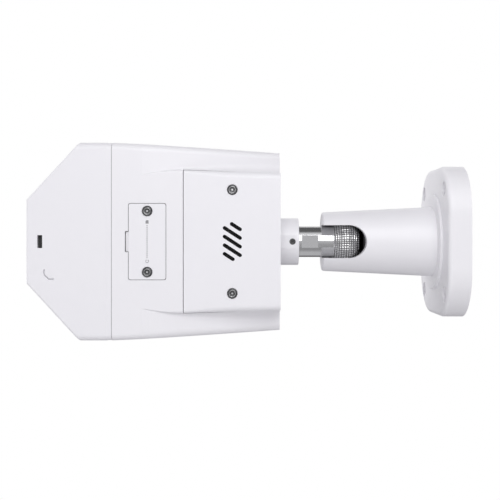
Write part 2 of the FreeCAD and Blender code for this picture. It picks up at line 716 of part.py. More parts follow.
def main_housing():
    shell = outer_housing().cut(housing_cavity())
    pad_z = card_ledge_z() + WALL
    half = CARD_COVER_WIDTH / 2 + WALL
    added = [box(-half, half, CARD_COVER_Y - CARD_COVER_LENGTH - CARD_TAB_LENGTH - WALL,
                 CARD_COVER_Y + WALL, BOTTOM_Z + WALL - SLACK, pad_z)]
    for x, z in corner_screw_places():
        added.append(rod(POST_R, SEAM_Y, SEAM_Y + SCREW_LENGTH + WALL, x, z))
    for side in (-1, 1):
        added.append(post(POST_R, side * COVER_SCREW_X, COVER_SCREW_Y, BOTTOM_Z + COVER_WALL,
                          POCKET_TOP_Z + WALL))
    mid_wall = round_long_edges(body_block(WALL / 2, SEAM_Y, BACK_Y), WALL / 2)
    for x, y in board_screw_places():
        added.append(post(2 * SHANK_R, x, y, MAIN_BOARD_Z + BOARD_THICK, BODY_ABOVE).common(mid_wall))
    pocket = middle_prism(-COVER_GAP / 2, COVER_FRONT_Y - COVER_GAP, BACK_Y + 1, 2 * BOTTOM_Z, POCKET_TOP_Z)
    shell = fused([shell.cut(pocket)] + added)
    cutters = [
        card_cover_shape(CARD_COVER_GAP, 2 * BOTTOM_Z, card_ledge_z()),
        card_opening(BOTTOM_Z, pad_z),
        rod(SPIGOT_R + SLACK / 2, BACK_Y - REAR_WALL, BACK_Y),
        post(POST_R, 0, BACK_Y - 2 * POST_R, POCKET_TOP_Z, POCKET_TOP_Z + WALL),
    ]
    for x, z in ring_of(COLLAR_SCREW_COUNT, COLLAR_SCREW_PITCH_R, 90):
        cutters.append(rod(SHANK_R, BACK_Y - REAR_WALL, BACK_Y, x, z))
    for x, z in corner_screw_places():
        cutters.append(rod(SHANK_R, SEAM_Y, SEAM_Y + SCREW_LENGTH + WALL, x, z))
    for side in (-1, 1):
        cutters.append(post(SHANK_R, side * COVER_SCREW_X, COVER_SCREW_Y, BOTTOM_Z, POCKET_TOP_Z))
        cutters.append(post(SHANK_R, side * CARD_COVER_SCREW_X, CARD_COVER_MIDDLE_Y, BOTTOM_Z, pad_z))
    for x, y in board_screw_places():
        cutters.append(post(BOARD_SCREW_R, x, y, MAIN_BOARD_Z, MAIN_BOARD_Z + SCREW_LENGTH))
    return without(shell, cutters)


def cover_screw_cutters(x, y):
    hole = post(SHANK_R + SLACK, x, y, 2 * BOTTOM_Z, POCKET_TOP_Z)
    sink = post(HEAD_R + HEAD_GAP, x, y, 2 * BOTTOM_Z, BOTTOM_Z + HEAD_SINK)
    return [hole, sink]


def grille_slits():
    """Slanted slits with round ends, cut off square by the grille's rectangle."""
    mid_y = COVER_SCREW_Y
    half_x = GRILLE_LENGTH_X / 2
    half_y = GRILLE_LENGTH_Y / 2
    slope = math.tan(math.radians(SLIT_SLOPE_DEG))
    r = SLIT_WIDTH / 2
    slits = []
    for k in range(-2, 3):
        middle_x = k * SLIT_PITCH
        ends = []
        for end in (-1, 1):
            y = end * (half_y - r)
            x = middle_x - y * slope
            if abs(x) > half_x - r:
                x = math.copysign(half_x - r, x)
                y = (middle_x - x) / slope
            ends.append((x, y))
        (xa, ya), (xb, yb) = ends
        dx = xb - xa
        dy = yb - ya
        length = math.hypot(dx, dy)
        nx = -dy / length * r
        ny = dx / length * r
        outline = [(xa + nx, mid_y + ya + ny), (xb + nx, mid_y + yb + ny),
                   (xb - nx, mid_y + yb - ny), (xa - nx, mid_y + ya - ny)]
        z1 = BOTTOM_Z + COVER_WALL
        slits.append(plan_prism(outline, 2 * BOTTOM_Z, z1))
        slits += [post(r, x, mid_y + y, 2 * BOTTOM_Z, z1) for x, y in ends]
    return slits


def rear_cover():
    block = outer_housing().common(
        middle_prism(COVER_GAP / 2, COVER_FRONT_Y, BACK_Y, BOTTOM_Z, POCKET_TOP_Z - COVER_GAP))
    inner = middle_prism(COVER_GAP / 2 + COVER_WALL, COVER_FRONT_Y + COVER_WALL, BACK_Y - COVER_WALL,
                         BOTTOM_Z + COVER_WALL, POCKET_TOP_Z)
    inner = rounded(inner, HOLLOW_EDGE_R - COVER_WALL,
                    lambda e: runs_along(e, (0, 1, 0)) and e.BoundBox.ZMax < BOTTOM_Z + COVER_WALL + SLACK)
    block = block.cut(inner)
    cutters = grille_slits()
    for side in (-1, 1):
        cutters += cover_screw_cutters(side * COVER_SCREW_X, COVER_SCREW_Y)
    return without(block, cutters)


def rear_cover_screws():
    seat = BOTTOM_Z + HEAD_SINK
    return group([upward_screw(side * COVER_SCREW_X, COVER_SCREW_Y, seat) for side in (-1, 1)])


def speaker_frame():
    y = COVER_SCREW_Y
    z0 = BOTTOM_Z + COVER_WALL + WINDOW_GASKET_THICK
    rim = post(SPEAKER_R, 0, y, z0, z0 + 1.5)
    basket = Part.makeCone(SPEAKER_R - 1, SPEAKER_R * 0.7, SPEAKER_DEPTH * 0.5, Vector(0, y, z0 + 1.5))
    magnet = post(SPEAKER_R * 0.6, 0, y, z0 + 1.5 + SPEAKER_DEPTH * 0.5, z0 + SPEAKER_DEPTH)
    recess = Part.makeCone(SPEAKER_R - 2, SPEAKER_R * 0.5, SPEAKER_DEPTH * 0.5, Vector(0, y, z0))
    return joined([rim, basket, magnet]).cut(recess)


def speaker_cone():
    y = COVER_SCREW_Y
    z0 = BOTTOM_Z + COVER_WALL + WINDOW_GASKET_THICK
    height = SPEAKER_DEPTH * 0.45
    outer = Part.makeCone(SPEAKER_R - 2.5, SPEAKER_R * 0.5 - 0.5, height, Vector(0, y, z0))
    inner = Part.makeCone(SPEAKER_R - 3.2, SPEAKER_R * 0.5 - 1.2, height - 0.5, Vector(0, y, z0))
    return outer.cut(inner)


def speaker_mesh():
    z0 = BOTTOM_Z + COVER_WALL
    return post(SPEAKER_R, 0, COVER_SCREW_Y, z0, z0 + WINDOW_GASKET_THICK)


def sd_cover():
    """A plate with a sunken tab, where a fingernail lifts it."""
    plate = card_cover_shape(0, BOTTOM_Z, BOTTOM_Z + CARD_COVER_THICK)
    half = CARD_TAB_WIDTH / 2 + SLACK
    front = CARD_COVER_Y - CARD_COVER_LENGTH
    cutters = [box(-half, half, front - 2 * CARD_TAB_LENGTH, front, BOTTOM_Z - 1, BOTTOM_Z + CARD_TAB_SINK)]
    for side in (-1, 1):
        cutters += cover_screw_cutters(side * CARD_COVER_SCREW_X, CARD_COVER_MIDDLE_Y)
    return without(plate, cutters)


def sd_cover_gasket():
    z0 = BOTTOM_Z + CARD_COVER_THICK
    plate = card_cover_shape(-CARD_COVER_GAP, z0, card_ledge_z())
    holes = [post(SHANK_R + SLACK, side * CARD_COVER_SCREW_X, CARD_COVER_MIDDLE_Y, z0, 0) for side in (-1, 1)]
    return without(plate, [card_opening(z0, 0, -SLACK)] + holes)


def sd_cover_screws():
    return group([
        upward_screw(side * CARD_COVER_SCREW_X, CARD_COVER_MIDDLE_Y, BOTTOM_Z + HEAD_SINK, 5.0)
        for side in (-1, 1)
    ])


# Electronics in the housing

def card_board_z():
    return card_ledge_z() + WALL + SLACK


def card_board():
    half = CARD_COVER_WIDTH / 2
    return box(-half, half, CARD_COVER_Y - CARD_COVER_LENGTH, CARD_COVER_Y, card_board_z(),
               card_board_z() + BOARD_THICK)


def sd_socket():
    z = card_board_z()
    shell = box(-13, 3, CARD_COVER_MIDDLE_Y - 7, CARD_COVER_MIDDLE_Y + 7.5, z - 2.0, z)
    slot = box(-12, 2, CARD_COVER_MIDDLE_Y - 8, CARD_COVER_MIDDLE_Y + 6.5, z - 1.5, z - 0.5)
    return shell.cut(slot)


def sd_card():
    z = card_board_z()
    card = plate_xy(-10.6, 0.4, CARD_COVER_MIDDLE_Y - 8.6, CARD_COVER_MIDDLE_Y + 6.4, 0.6, z - 1.4, z - 0.6)
    return card


def reset_place():
    return (9.0, CARD_COVER_MIDDLE_Y)


def reset_switch():
    x, y = reset_place()
    z = card_board_z()
    body = box(x - 3, x + 3, y - 3, y + 3, z - 2.2, z)
    return body.cut(post(RESET_R + SLACK, x, y, z - 2.2, z - 0.4))


def reset_button():
    x, y = reset_place()
    z = card_board_z()
    return post(RESET_R, x, y, BOTTOM_Z + CARD_COVER_THICK + 3 * SLACK, z - 0.4 - RESET_TRAVEL - SLACK)


def board_middle_y():
    return (SEAM_Y + BACK_Y) / 2


def board_screw_places():
    x = MAIN_BOARD_X / 2 - POST_R
    y = MAIN_BOARD_Y / 2 - POST_R
    return [(sx * x, board_middle_y() + sy * y) for sx in (-1, 1) for sy in (-1, 1)]


def main_board():
    half_x = MAIN_BOARD_X / 2
    half_y = MAIN_BOARD_Y / 2
    mid = board_middle_y()
    top = MAIN_BOARD_Z + BOARD_THICK
    board = plate_xy(-half_x, half_x, mid - half_y, mid + half_y, 2.0, MAIN_BOARD_Z, top)
    holes = [post(SHANK_R, x, y, MAIN_BOARD_Z, top) for x, y in board_screw_places()]
    return without(board, holes)


def board_screws():
    screws = []
    for x, y in board_screw_places():
        placed = screw(SCREW_LENGTH - 1, 2 * SHANK_R, BOARD_THICK, BOARD_SCREW_R - SLACK / 2)
        placed.translate(Vector(x, y, MAIN_BOARD_Z))
        screws.append(placed)
    return group(screws)


def board_chips():
    """The processor in the middle, two memories, a network part and two plug sockets: each is the
    place of its middle from the board's middle, its two sides and its height."""
    chips = [(0, 0, 18, 18, CHIP_HEIGHT), (21, 0, 10, 12, 1.2), (21, 16, 10, 12, 1.2), (-24, 0, 12, 16, 2.0),
             (-30, 26, 16, 12, 8.0), (30, -27, 16, 10, 6.0)]
    z = MAIN_BOARD_Z
    mid = board_middle_y()
    return group([box(x - w / 2, x + w / 2, mid + y - d / 2, mid + y + d / 2, z - h, z)
                  for x, y, w, d, h in chips])


def heat_sink():
    z1 = MAIN_BOARD_Z - CHIP_HEIGHT
    z0 = z1 - 2.0
    mid = board_middle_y()
    half = (FIN_PITCH * (FIN_COUNT - 1) + FIN_THICK) / 2
    plate = box(-half, half, mid - half, mid + half, z0, z1)
    fins = [box(x, x + FIN_THICK, mid - half, mid + half, z0 - 7.0, z0)
            for x in [-half + FIN_PITCH * k for k in range(FIN_COUNT)]]
    return joined([plate] + fins)


def power_board():
    """Stands upright across the housing, in front of the rear wall."""
    y = BACK_Y - REAR_WALL - WASHER_THICK - NUT_THICK - 6.0
    board = box(-42, 42, y - BOARD_THICK, y, POCKET_TOP_Z + WALL + 1, MAIN_BOARD_Z - 12)
    coil = rod(7.0, y - BOARD_THICK - 6.0, y - BOARD_THICK, 20, -6)
    cap = rod(5.0, y - BOARD_THICK - 12.0, y - BOARD_THICK, -20, -6)
    return joined([board, coil, cap])


# Front cover and what sits in it

def nose_plan(inset):
    outline = [(-BODY_WIDTH / 2, SEAM_Y), (-BODY_WIDTH / 2, SHOULDER_Y), (-NOSE_WIDTH / 2, NOSE_Y),
               (NOSE_WIDTH / 2, NOSE_Y), (BODY_WIDTH / 2, SHOULDER_Y), (BODY_WIDTH / 2, SEAM_Y)]
    face = Part.Face(Part.makePolygon([Vector(x, y, 0) for x, y in outline + outline[:1]]))
    if inset:
        face = face.makeOffset2D(-inset, 2)
    return face


def straight_block(inset, y0, y1):
    """A rounded bar with the housing's front section."""
    bar = box(-BODY_WIDTH / 2 + inset, BODY_WIDTH / 2 - inset, y0, y1, BOTTOM_Z + inset, BODY_ABOVE - inset)
    return round_long_edges(bar, inset)


def front_outer():
    plan = nose_plan(0).extrude(Vector(0, 0, 2 * BODY_WIDTH))
    plan.translate(Vector(0, 0, -BODY_WIDTH))
    nose = straight_block(0, NOSE_Y, SEAM_Y - SEAM_GAP - SEAM_BAND).common(plan)
    nose = rounded(nose, NOSE_EDGE_R, lambda e: e.BoundBox.YMax < SHOULDER_Y + SLACK
                   and not runs_along(e, (0, 0, 1)))
    band = straight_block(SEAM_BAND_INSET, SEAM_Y - SEAM_GAP - SEAM_BAND, SEAM_Y - SEAM_GAP)
    return joined([nose, band])


def front_cavity():
    plan = nose_plan(FRONT_WALL).extrude(Vector(0, 0, 2 * BODY_WIDTH))
    plan.translate(Vector(0, 0, -BODY_WIDTH))
    main = straight_block(WALL, NOSE_Y, SEAM_Y - FRONT_WALL).common(plan)
    mouth = straight_block(WALL, SEAM_Y - FRONT_WALL, SEAM_Y).common(
        box(-BODY_WIDTH / 2 + FRONT_WALL, BODY_WIDTH / 2 - FRONT_WALL, NOSE_Y, SEAM_Y, -BEYOND, BEYOND))
    return joined([main, mouth])


def front_seal():
    y0 = SEAM_Y - SEAM_GAP - SEAL_DEPTH
    middle = WALL / 2
    outer = straight_block(middle - SEAL_WIDTH / 2, y0, SEAM_Y)
    return outer.cut(straight_block(middle + SEAL_WIDTH / 2, y0, SEAM_Y))


def window_hole(side, width):
    inner_width = width - 2 * WINDOW_LEDGE
    inner_height = WINDOW_HEIGHT - 2 * WINDOW_LEDGE
    depth = WINDOW_SINK + WINDOW_THICK + WINDOW_GASKET_THICK
    rebate = plate_xz(width + 2 * WINDOW_GAP, WINDOW_HEIGHT + 2 * WINDOW_GAP, WINDOW_CORNER_R, -2, depth)
    through = plate_xz(inner_width, inner_height, WINDOW_CORNER_R - WINDOW_LEDGE, depth, 2 * FRONT_WALL)
    return on_facet(joined([rebate, through]), side)


def window_width(side):
    return MIDDLE_WINDOW_WIDTH if side == 0 else SLANTED_WINDOW_WIDTH


def bent_groove():
    """A short L-shaped groove under the nose, with its corner cut off."""
    x0 = -0.34 * NOSE_WIDTH
    y0 = NOSE_Y + 1.33 * MIC_FROM_NOSE
    leg = 3.1
    run = 3.0
    path = [(x0, y0), (x0 - leg, y0), (x0 - leg - run, y0 + run), (x0 - leg - run, y0 + 2 * run)]
    r = GROOVE_WIDTH / 2
    z1 = BOTTOM_Z + GROOVE_DEPTH
    cutters = [post(r, x, y, 2 * BOTTOM_Z, z1) for x, y in path]
    for (xa, ya), (xb, yb) in zip(path, path[1:]):
        length = math.hypot(xb - xa, yb - ya)
        nx = -(yb - ya) / length * r
        ny = (xb - xa) / length * r
        outline = [(xa + nx, ya + ny), (xb + nx, yb + ny), (xb - nx, yb - ny), (xa - nx, ya - ny)]
        cutters.append(plan_prism(outline, 2 * BOTTOM_Z, z1))
    return cutters


def front_cover():
    shell = front_outer().cut(front_cavity())
    bosses = [rod(POST_R, SEAM_Y - SEAM_GAP - SCREW_LENGTH - WALL, SEAM_Y - SEAM_GAP, x, z)
              for x, z in corner_screw_places()]
    shell = joined([shell] + [b.common(front_outer()) for b in bosses])
    cutters = [front_seal(), mic_opening(2 * BOTTOM_Z, BOTTOM_Z + WALL)] + bent_groove()
    for x, z in corner_screw_places():
        cutters.append(rod(SHANK_R, SEAM_Y - SEAM_GAP - SCREW_LENGTH, SEAM_Y, x, z))
    cutters += [window_hole(side, window_width(side)) for side in (-1, 0, 1)]
    return without(shell, cutters)


def front_cover_screws():
    seat = SEAM_Y + SCREW_LENGTH + WALL
    length = 2 * SCREW_LENGTH
    return group([
        screw_along_y(x, seat, z, length, COLLAR_SCREW_HEAD_R, SHANK_R, SHANK_R - SLACK / 2, -1)
        for x, z in corner_screw_places()
    ])


def window(side):
    pane = plate_xz(window_width(side), WINDOW_HEIGHT, WINDOW_CORNER_R - WINDOW_GAP, WINDOW_SINK,
                    WINDOW_SINK + WINDOW_THICK)
    return on_facet(pane, side)


def window_gasket(side):
    y0 = WINDOW_SINK + WINDOW_THICK
    y1 = y0 + WINDOW_GASKET_THICK
    width = window_width(side)
    outer = plate_xz(width, WINDOW_HEIGHT, WINDOW_CORNER_R - WINDOW_GAP, y0, y1)
    inner = plate_xz(width - 2 * WINDOW_LEDGE, WINDOW_HEIGHT - 2 * WINDOW_LEDGE,
                     WINDOW_CORNER_R - WINDOW_LEDGE, y0, y1)
    return on_facet(outer.cut(inner), side)


def mask_y():
    return WINDOW_SINK + WINDOW_THICK + WINDOW_GASKET_THICK


def mask_plate(width):
    clear = 2 * (WINDOW_LEDGE + WINDOW_GAP)
    return plate_xz(width - clear, WINDOW_HEIGHT - clear, WINDOW_CORNER_R - WINDOW_LEDGE - WINDOW_GAP,
                    mask_y(), mask_y() + MASK_THICK)


def lens_mask(side):
    return on_facet(mask_plate(SLANTED_WINDOW_WIDTH).cut(rod(LENS_HOOD_R + SLACK, 0, 2 * FRONT_WALL)), side)


def lens_start_y():
    return mask_y() - WINDOW_GASKET_THICK + LENS_SET_BACK / 2


def lens_barrel(side):
    y0 = lens_start_y()
    hood_length = 4.0
    hood = rod(LENS_HOOD_R, y0, y0 + hood_length)
    barrel = rod(LENS_BARREL_R, y0, y0 + LENS_BARREL_LENGTH)
    flare = Part.makeCone(LENS_HOOD_R - 1.0, LENS_GLASS_R, hood_length, Vector(0, y0, 0), Vector(0, 1, 0))
    bore = rod(LENS_GLASS_R, y0 + hood_length, y0 + LENS_BARREL_LENGTH)
    return on_facet(without(joined([hood, barrel]), [flare, bore]), side)


def lens_front_element(side):
    y_face = lens_start_y() + 4.0
    thick = 5.0
    ball = Part.makeSphere(LENS_GLASS_CURVE_R, Vector(0, y_face + LENS_GLASS_CURVE_R - 2.2, 0))
    return on_facet(ball.common(rod(LENS_GLASS_R - SLACK, y_face - 3, y_face + thick)), side)


def lens_rear_elements():
    y0 = lens_start_y() + LENS_BARREL_LENGTH * 0.6
    return group([on_facet(rod(LENS_GLASS_R - SLACK, y0, y0 + 3.0), side) for side in (-1, 1)])


def sensor_board(side):
    """The lens holder, the image sensor's carrier and its circuit board."""
    y0 = lens_start_y() + LENS_BARREL_LENGTH
    half = SENSOR_BOARD_SIDE / 2
    holder = box(-LENS_BARREL_R, LENS_BARREL_R, y0, y0 + 4.0, -LENS_BARREL_R, LENS_BARREL_R)
    holder = holder.cut(rod(LENS_GLASS_R, y0, y0 + 3.0))
    board = box(-half, half, y0 + 4.0, y0 + 4.0 + BOARD_THICK, -half, half)
    return on_facet(joined([holder, board]), side)


def emitter_places():
    xs = [(k - (EMITTER_COLUMNS - 1) / 2) * EMITTER_PITCH_X for k in range(EMITTER_COLUMNS)]
    zs = [(k - (EMITTER_ROWS - 1) / 2) * EMITTER_PITCH_Z for k in range(EMITTER_ROWS)]
    return [(x, z) for x in xs for z in zs]


def light_mask():
    plate = mask_plate(window_width(0))
    holes = [rod(EMITTER_R + SLACK, 0, 2 * FRONT_WALL, x, z) for x, z in emitter_places()]
    return on_facet(without(plate, holes + [rod(LIGHT_SENSOR_R + SLACK, 0, 2 * FRONT_WALL)]), 0)


def light_board():
    y0 = mask_y() + 5.0
    clear = 4 * WINDOW_LEDGE
    board = plate_xz(MIDDLE_WINDOW_WIDTH - clear, WINDOW_HEIGHT - clear, 2.0, y0, y0 + BOARD_THICK)
    return on_facet(board, 0)


def light_emitters():
    y0 = mask_y()
    lamps = []
    for x, z in emitter_places():
        cup = rod(EMITTER_R, y0, y0 + 5.0, x, z)
        bowl = Part.makeCone(EMITTER_R - 0.4, EMITTER_R * 0.4, 4.0, Vector(x, y0, z), Vector(0, 1, 0))
        lamps.append(cup.cut(bowl))
    return on_facet(group(lamps), 0)


def light_lenses():
    """Clear domes at the bottom of the reflector cups, and over the light sensor."""
    y1 = mask_y() + 4.0
    domes = [Part.makeSphere(EMITTER_R * 0.4, Vector(x, y1, z), Vector(0, -1, 0), 0, 90)
             for x, z in emitter_places()]
    sensor = rod(LIGHT_SENSOR_R, mask_y(), mask_y() + 5.0)
    return on_facet(group(domes + [sensor]), 0)


def lens_carrier():
    """One bent plate behind both sensor boards, fixed across the front cover."""
    thick = 2.0
    half_z = SENSOR_BOARD_SIDE / 2 + 4.0
    gap = lens_start_y() + LENS_BARREL_LENGTH + 4.0 + BOARD_THICK
    half = SENSOR_BOARD_SIDE / 2
    wings = [on_facet(box(-half, half, gap, gap + thick, -half_z, half_z), side) for side in (-1, 1)]
    turn = math.radians(FACET_TURN_DEG)
    x_in = FACET_MIDDLE[0] - half * math.cos(turn) - gap * math.sin(turn)
    y_in = FACET_MIDDLE[1] - half * math.sin(turn) + gap * math.cos(turn)
    bridge = box(-x_in, x_in, y_in, y_in + thick, BODY_MIDDLE_Z - half_z, BODY_MIDDLE_Z + half_z)
    return joined(wings + [bridge])


def mic_opening(z0, z1):
    y = NOSE_Y + MIC_FROM_NOSE
    return plate_xy(-MIC_HOLE_X / 2, MIC_HOLE_X / 2, y - MIC_HOLE_Y / 2, y + MIC_HOLE_Y / 2, 0.3, z0, z1)


def mic_membrane():
    y = NOSE_Y + MIC_FROM_NOSE
    z0 = BOTTOM_Z + WALL
    half_x = MIC_HOLE_X / 2 + MIC_MEMBRANE_RIM
    half_y = MIC_HOLE_Y / 2 + MIC_MEMBRANE_RIM
    return plate_xy(-half_x, half_x, y - half_y, y + half_y, 1.0, z0, z0 + MIC_MEMBRANE_THICK)


def mic_capsule():
    z0 = BOTTOM_Z + WALL + MIC_MEMBRANE_THICK
    return post(MIC_HOLE_Y / 2 + MIC_MEMBRANE_RIM, 0, NOSE_Y + MIC_FROM_NOSE, z0, z0 + MIC_HOLE_Y)


def parts():
    made = {
        "base_plate": base_plate(),
        "base_gasket": base_gasket(),
        "pan_friction_washer": pan_friction_washer(),
        "arm_retainer": arm_retainer(),
        "retainer_screws": retainer_screws(),
        "cable_grommet": cable_grommet(),
        "arm_shell": arm_shell(),
        "ball_clamp_block": ball_clamp_block(),
        "arm_lock_screw": arm_lock_screw(),
        "ball_shaft": ball_shaft(),
        "shaft_o_ring": shaft_o_ring(),
        "shaft_washer": shaft_washer(),
        "shaft_nut": shaft_nut(),
        "rear_collar": rear_collar(),
        "collar_screws": collar_screws(),
        "collar_set_screw": collar_set_screw(),
        "main_housing": main_housing(),
        "rear_cover": rear_cover(),
        "rear_cover_screws": rear_cover_screws(),
        "speaker_frame": speaker_frame(),
        "speaker_cone": speaker_cone(),
        "speaker_mesh": speaker_mesh(),
        "sd_cover": sd_cover(),
        "sd_cover_gasket": sd_cover_gasket(),
        "sd_cover_screws": sd_cover_screws(),
        "card_board": card_board(),
        "sd_socket": sd_socket(),
        "sd_card": sd_card(),
        "reset_switch": reset_switch(),
        "reset_button": reset_button(),
        "main_board": main_board(),
        "board_screws": board_screws(),
        "board_chips": board_chips(),
        "heat_sink": heat_sink(),
        "power_board": power_board(),
        "front_cover": front_cover(),
        "front_seal": front_seal(),
        "front_cover_screws": front_cover_screws(),
        "middle_window": window(0),
        "middle_window_gasket": window_gasket(0),
        "light_mask": light_mask(),
        "light_board": light_board(),
        "light_emitters": light_emitters(),
        "light_lenses": light_lenses(),
        "lens_rear_elements": lens_rear_elements(),
        "lens_carrier": lens_carrier(),
        "mic_membrane": mic_membrane(),
        "mic_capsule": mic_capsule(),
    }
    for name, side in SIDES.items():
        made[name + "_window"] = window(side)
        made[name + "_window_gasket"] = window_gasket(side)
        made[name + "_lens_mask"] = lens_mask(side)
        made[name + "_lens_barrel"] = lens_barrel(side)
        made[name + "_lens_front_element"] = lens_front_element(side)
        made[name + "_sensor_board"] = sensor_board(side)
    return made


os.makedirs("parts", exist_ok=True)
for node, shape in parts().items():
    shape.exportStep(os.path.join("parts", node + ".step"))
    print(node, len(shape.Solids), round(shape.Volume, 1), shape.isValid())
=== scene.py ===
# %% [markdown]
# # A two-lens camera on a wall arm
# The real object is a white die-cast camera body that hangs on a polished steel ball shaft. The shaft
# turns in a white cast arm, and the arm turns on a plate that is screwed to a wall.
# All the hard parts come from a CAD model, already in their places. This lesson gives them their
# finishes, and adds what a CAD model leaves out: the knurling on the ball, the woven cloth behind the
# loudspeaker, printed marks, coatings on the glass and the small parts on the circuit boards.
# Everything is in metres, and the new pieces are placed from the CAD model's own boxes, all but the knurl,
# whose ball is placed by its own numbers.

# %% Load the frame
import math
import bmesh
import bpy
from mathutils import Matrix, Vector


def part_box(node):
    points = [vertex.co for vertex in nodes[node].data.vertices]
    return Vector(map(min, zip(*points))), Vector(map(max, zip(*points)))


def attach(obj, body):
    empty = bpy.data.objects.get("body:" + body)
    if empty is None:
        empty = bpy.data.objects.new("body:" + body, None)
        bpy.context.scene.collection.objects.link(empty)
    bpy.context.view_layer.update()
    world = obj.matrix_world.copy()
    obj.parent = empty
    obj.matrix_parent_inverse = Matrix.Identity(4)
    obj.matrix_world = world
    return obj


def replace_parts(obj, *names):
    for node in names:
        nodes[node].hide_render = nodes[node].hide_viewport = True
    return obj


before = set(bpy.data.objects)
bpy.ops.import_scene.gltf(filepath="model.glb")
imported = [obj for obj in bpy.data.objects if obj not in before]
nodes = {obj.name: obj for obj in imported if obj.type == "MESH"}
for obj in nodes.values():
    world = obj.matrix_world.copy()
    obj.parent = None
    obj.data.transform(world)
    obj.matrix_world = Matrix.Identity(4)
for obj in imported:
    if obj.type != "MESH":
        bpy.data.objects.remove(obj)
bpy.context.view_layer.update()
MM = 0.001

# %% [markdown]
# ## The camera that looks at it
# The object is seen from straight below, with its nose to the left and its wall plate to the right.
# A camera in Blender looks along its own -Z, with its X to the right and its Y up, so the three axes of
# the row frame are written as the columns of one matrix. A long lens from two thirds of a metre keeps
# the perspective mild, and a small lens shift puts the object a little above the middle.

# %% Camera
VIEW_DISTANCE = 0.668
VIEW_Y = -0.1456
SENSOR_WIDTH = 36.0
LENS_LENGTH = 67.8
LENS_SHIFT = -0.0168


def make_camera():
    data = bpy.data.cameras.new("view_camera")
    data.sensor_width = SENSOR_WIDTH
    data.lens = LENS_LENGTH
    data.shift_y = LENS_SHIFT
    data.clip_start = 0.01
    data.clip_end = 20.0
    camera = bpy.data.objects.new("view_camera", data)
    bpy.context.scene.collection.objects.link(camera)
    right, up, back = Vector((0, 1, 0)), Vector((1, 0, 0)), Vector((0, 0, -1))
    turn = Matrix((right, up, back)).transposed()
    camera.matrix_world = Matrix.Translation((0, VIEW_Y, -VIEW_DISTANCE)) @ turn.to_4x4()
    bpy.context.scene.camera = camera
    return camera


camera = make_camera()
print("the camera stands", round(-camera.location.z, 3), "m below the object")

# %% [markdown]
# ## Light and floor
# White paint shows its form only by soft changes of brightness, and polished steel shows nothing but
# what it mirrors. So the studio is a pale room that is brighter on one side, with a darker part for the
# steel to mirror, and a few large soft lamps. The backdrop itself stays white: a Light Path node gives
# camera rays plain white and every other ray the room.

# %% Studio helpers


def link(tree, start, end):
    tree.links.new(start, end)


def node(tree, kind, place=(0, 0), **settings):
    made = tree.nodes.new(kind)
    made.location = place
    for key, value in settings.items():
        setattr(made, key, value)
    return made


# The room that shiny things mirror, as turns round the object's long axis: straight down is 0 degrees
# and the +X side is at 90. Each pair is a direction and how bright the room is there.
MIRRORED_ROOM = [(-180, 0.10), (-142, 0.10), (-122, 0.62), (-88, 0.64), (-62, 0.38), (-24, 0.46),
                 (4, 0.68), (14, 0.92), (62, 0.90), (80, 0.16), (140, 0.14), (180, 0.10)]


def room_seen_in_mirrors(tree, split):
    """A ramp of light and dark panels round the long axis, as flags and softboxes give a studio."""
    down = node(tree, "ShaderNodeMath", (-560, -300), operation="MULTIPLY")
    down.inputs[1].default_value = -1.0
    turn = node(tree, "ShaderNodeMath", (-400, -300), operation="ARCTAN2")
    share = node(tree, "ShaderNodeMapRange", (-240, -300))
    share.inputs["From Min"].default_value = -math.pi
    share.inputs["From Max"].default_value = math.pi
    ramp = node(tree, "ShaderNodeValToRGB", (-80, -300))
    for place, (degrees, bright) in enumerate(MIRRORED_ROOM):
        spot = (degrees + 180) / 360
        stop = ramp.color_ramp.elements[place] if place < 2 else ramp.color_ramp.elements.new(spot)
        stop.position = spot
        stop.color = (bright, bright, bright * 1.02, 1)
    link(tree, split.outputs["Z"], down.inputs[0])
    link(tree, split.outputs["X"], turn.inputs[0])
    link(tree, down.outputs[0], turn.inputs[1])
    link(tree, turn.outputs[0], share.inputs["Value"])
    link(tree, share.outputs["Result"], ramp.inputs["Fac"])
    ends = node(tree, "ShaderNodeMath", (-400, -520), operation="ABSOLUTE")
    near_end = node(tree, "ShaderNodeMapRange", (-240, -520), interpolation_type="SMOOTHSTEP")
    near_end.inputs["From Min"].default_value = 0.55
    near_end.inputs["From Max"].default_value = 0.95
    calm = node(tree, "ShaderNodeMix", (120, -300), data_type="RGBA")
    calm.inputs["B"].default_value = (0.42, 0.42, 0.43, 1)
    link(tree, split.outputs["Y"], ends.inputs[0])
    link(tree, ends.outputs[0], near_end.inputs["Value"])
    link(tree, near_end.outputs["Result"], calm.inputs["Factor"])
    link(tree, ramp.outputs["Color"], calm.inputs["A"])
    return calm.outputs["Result"]


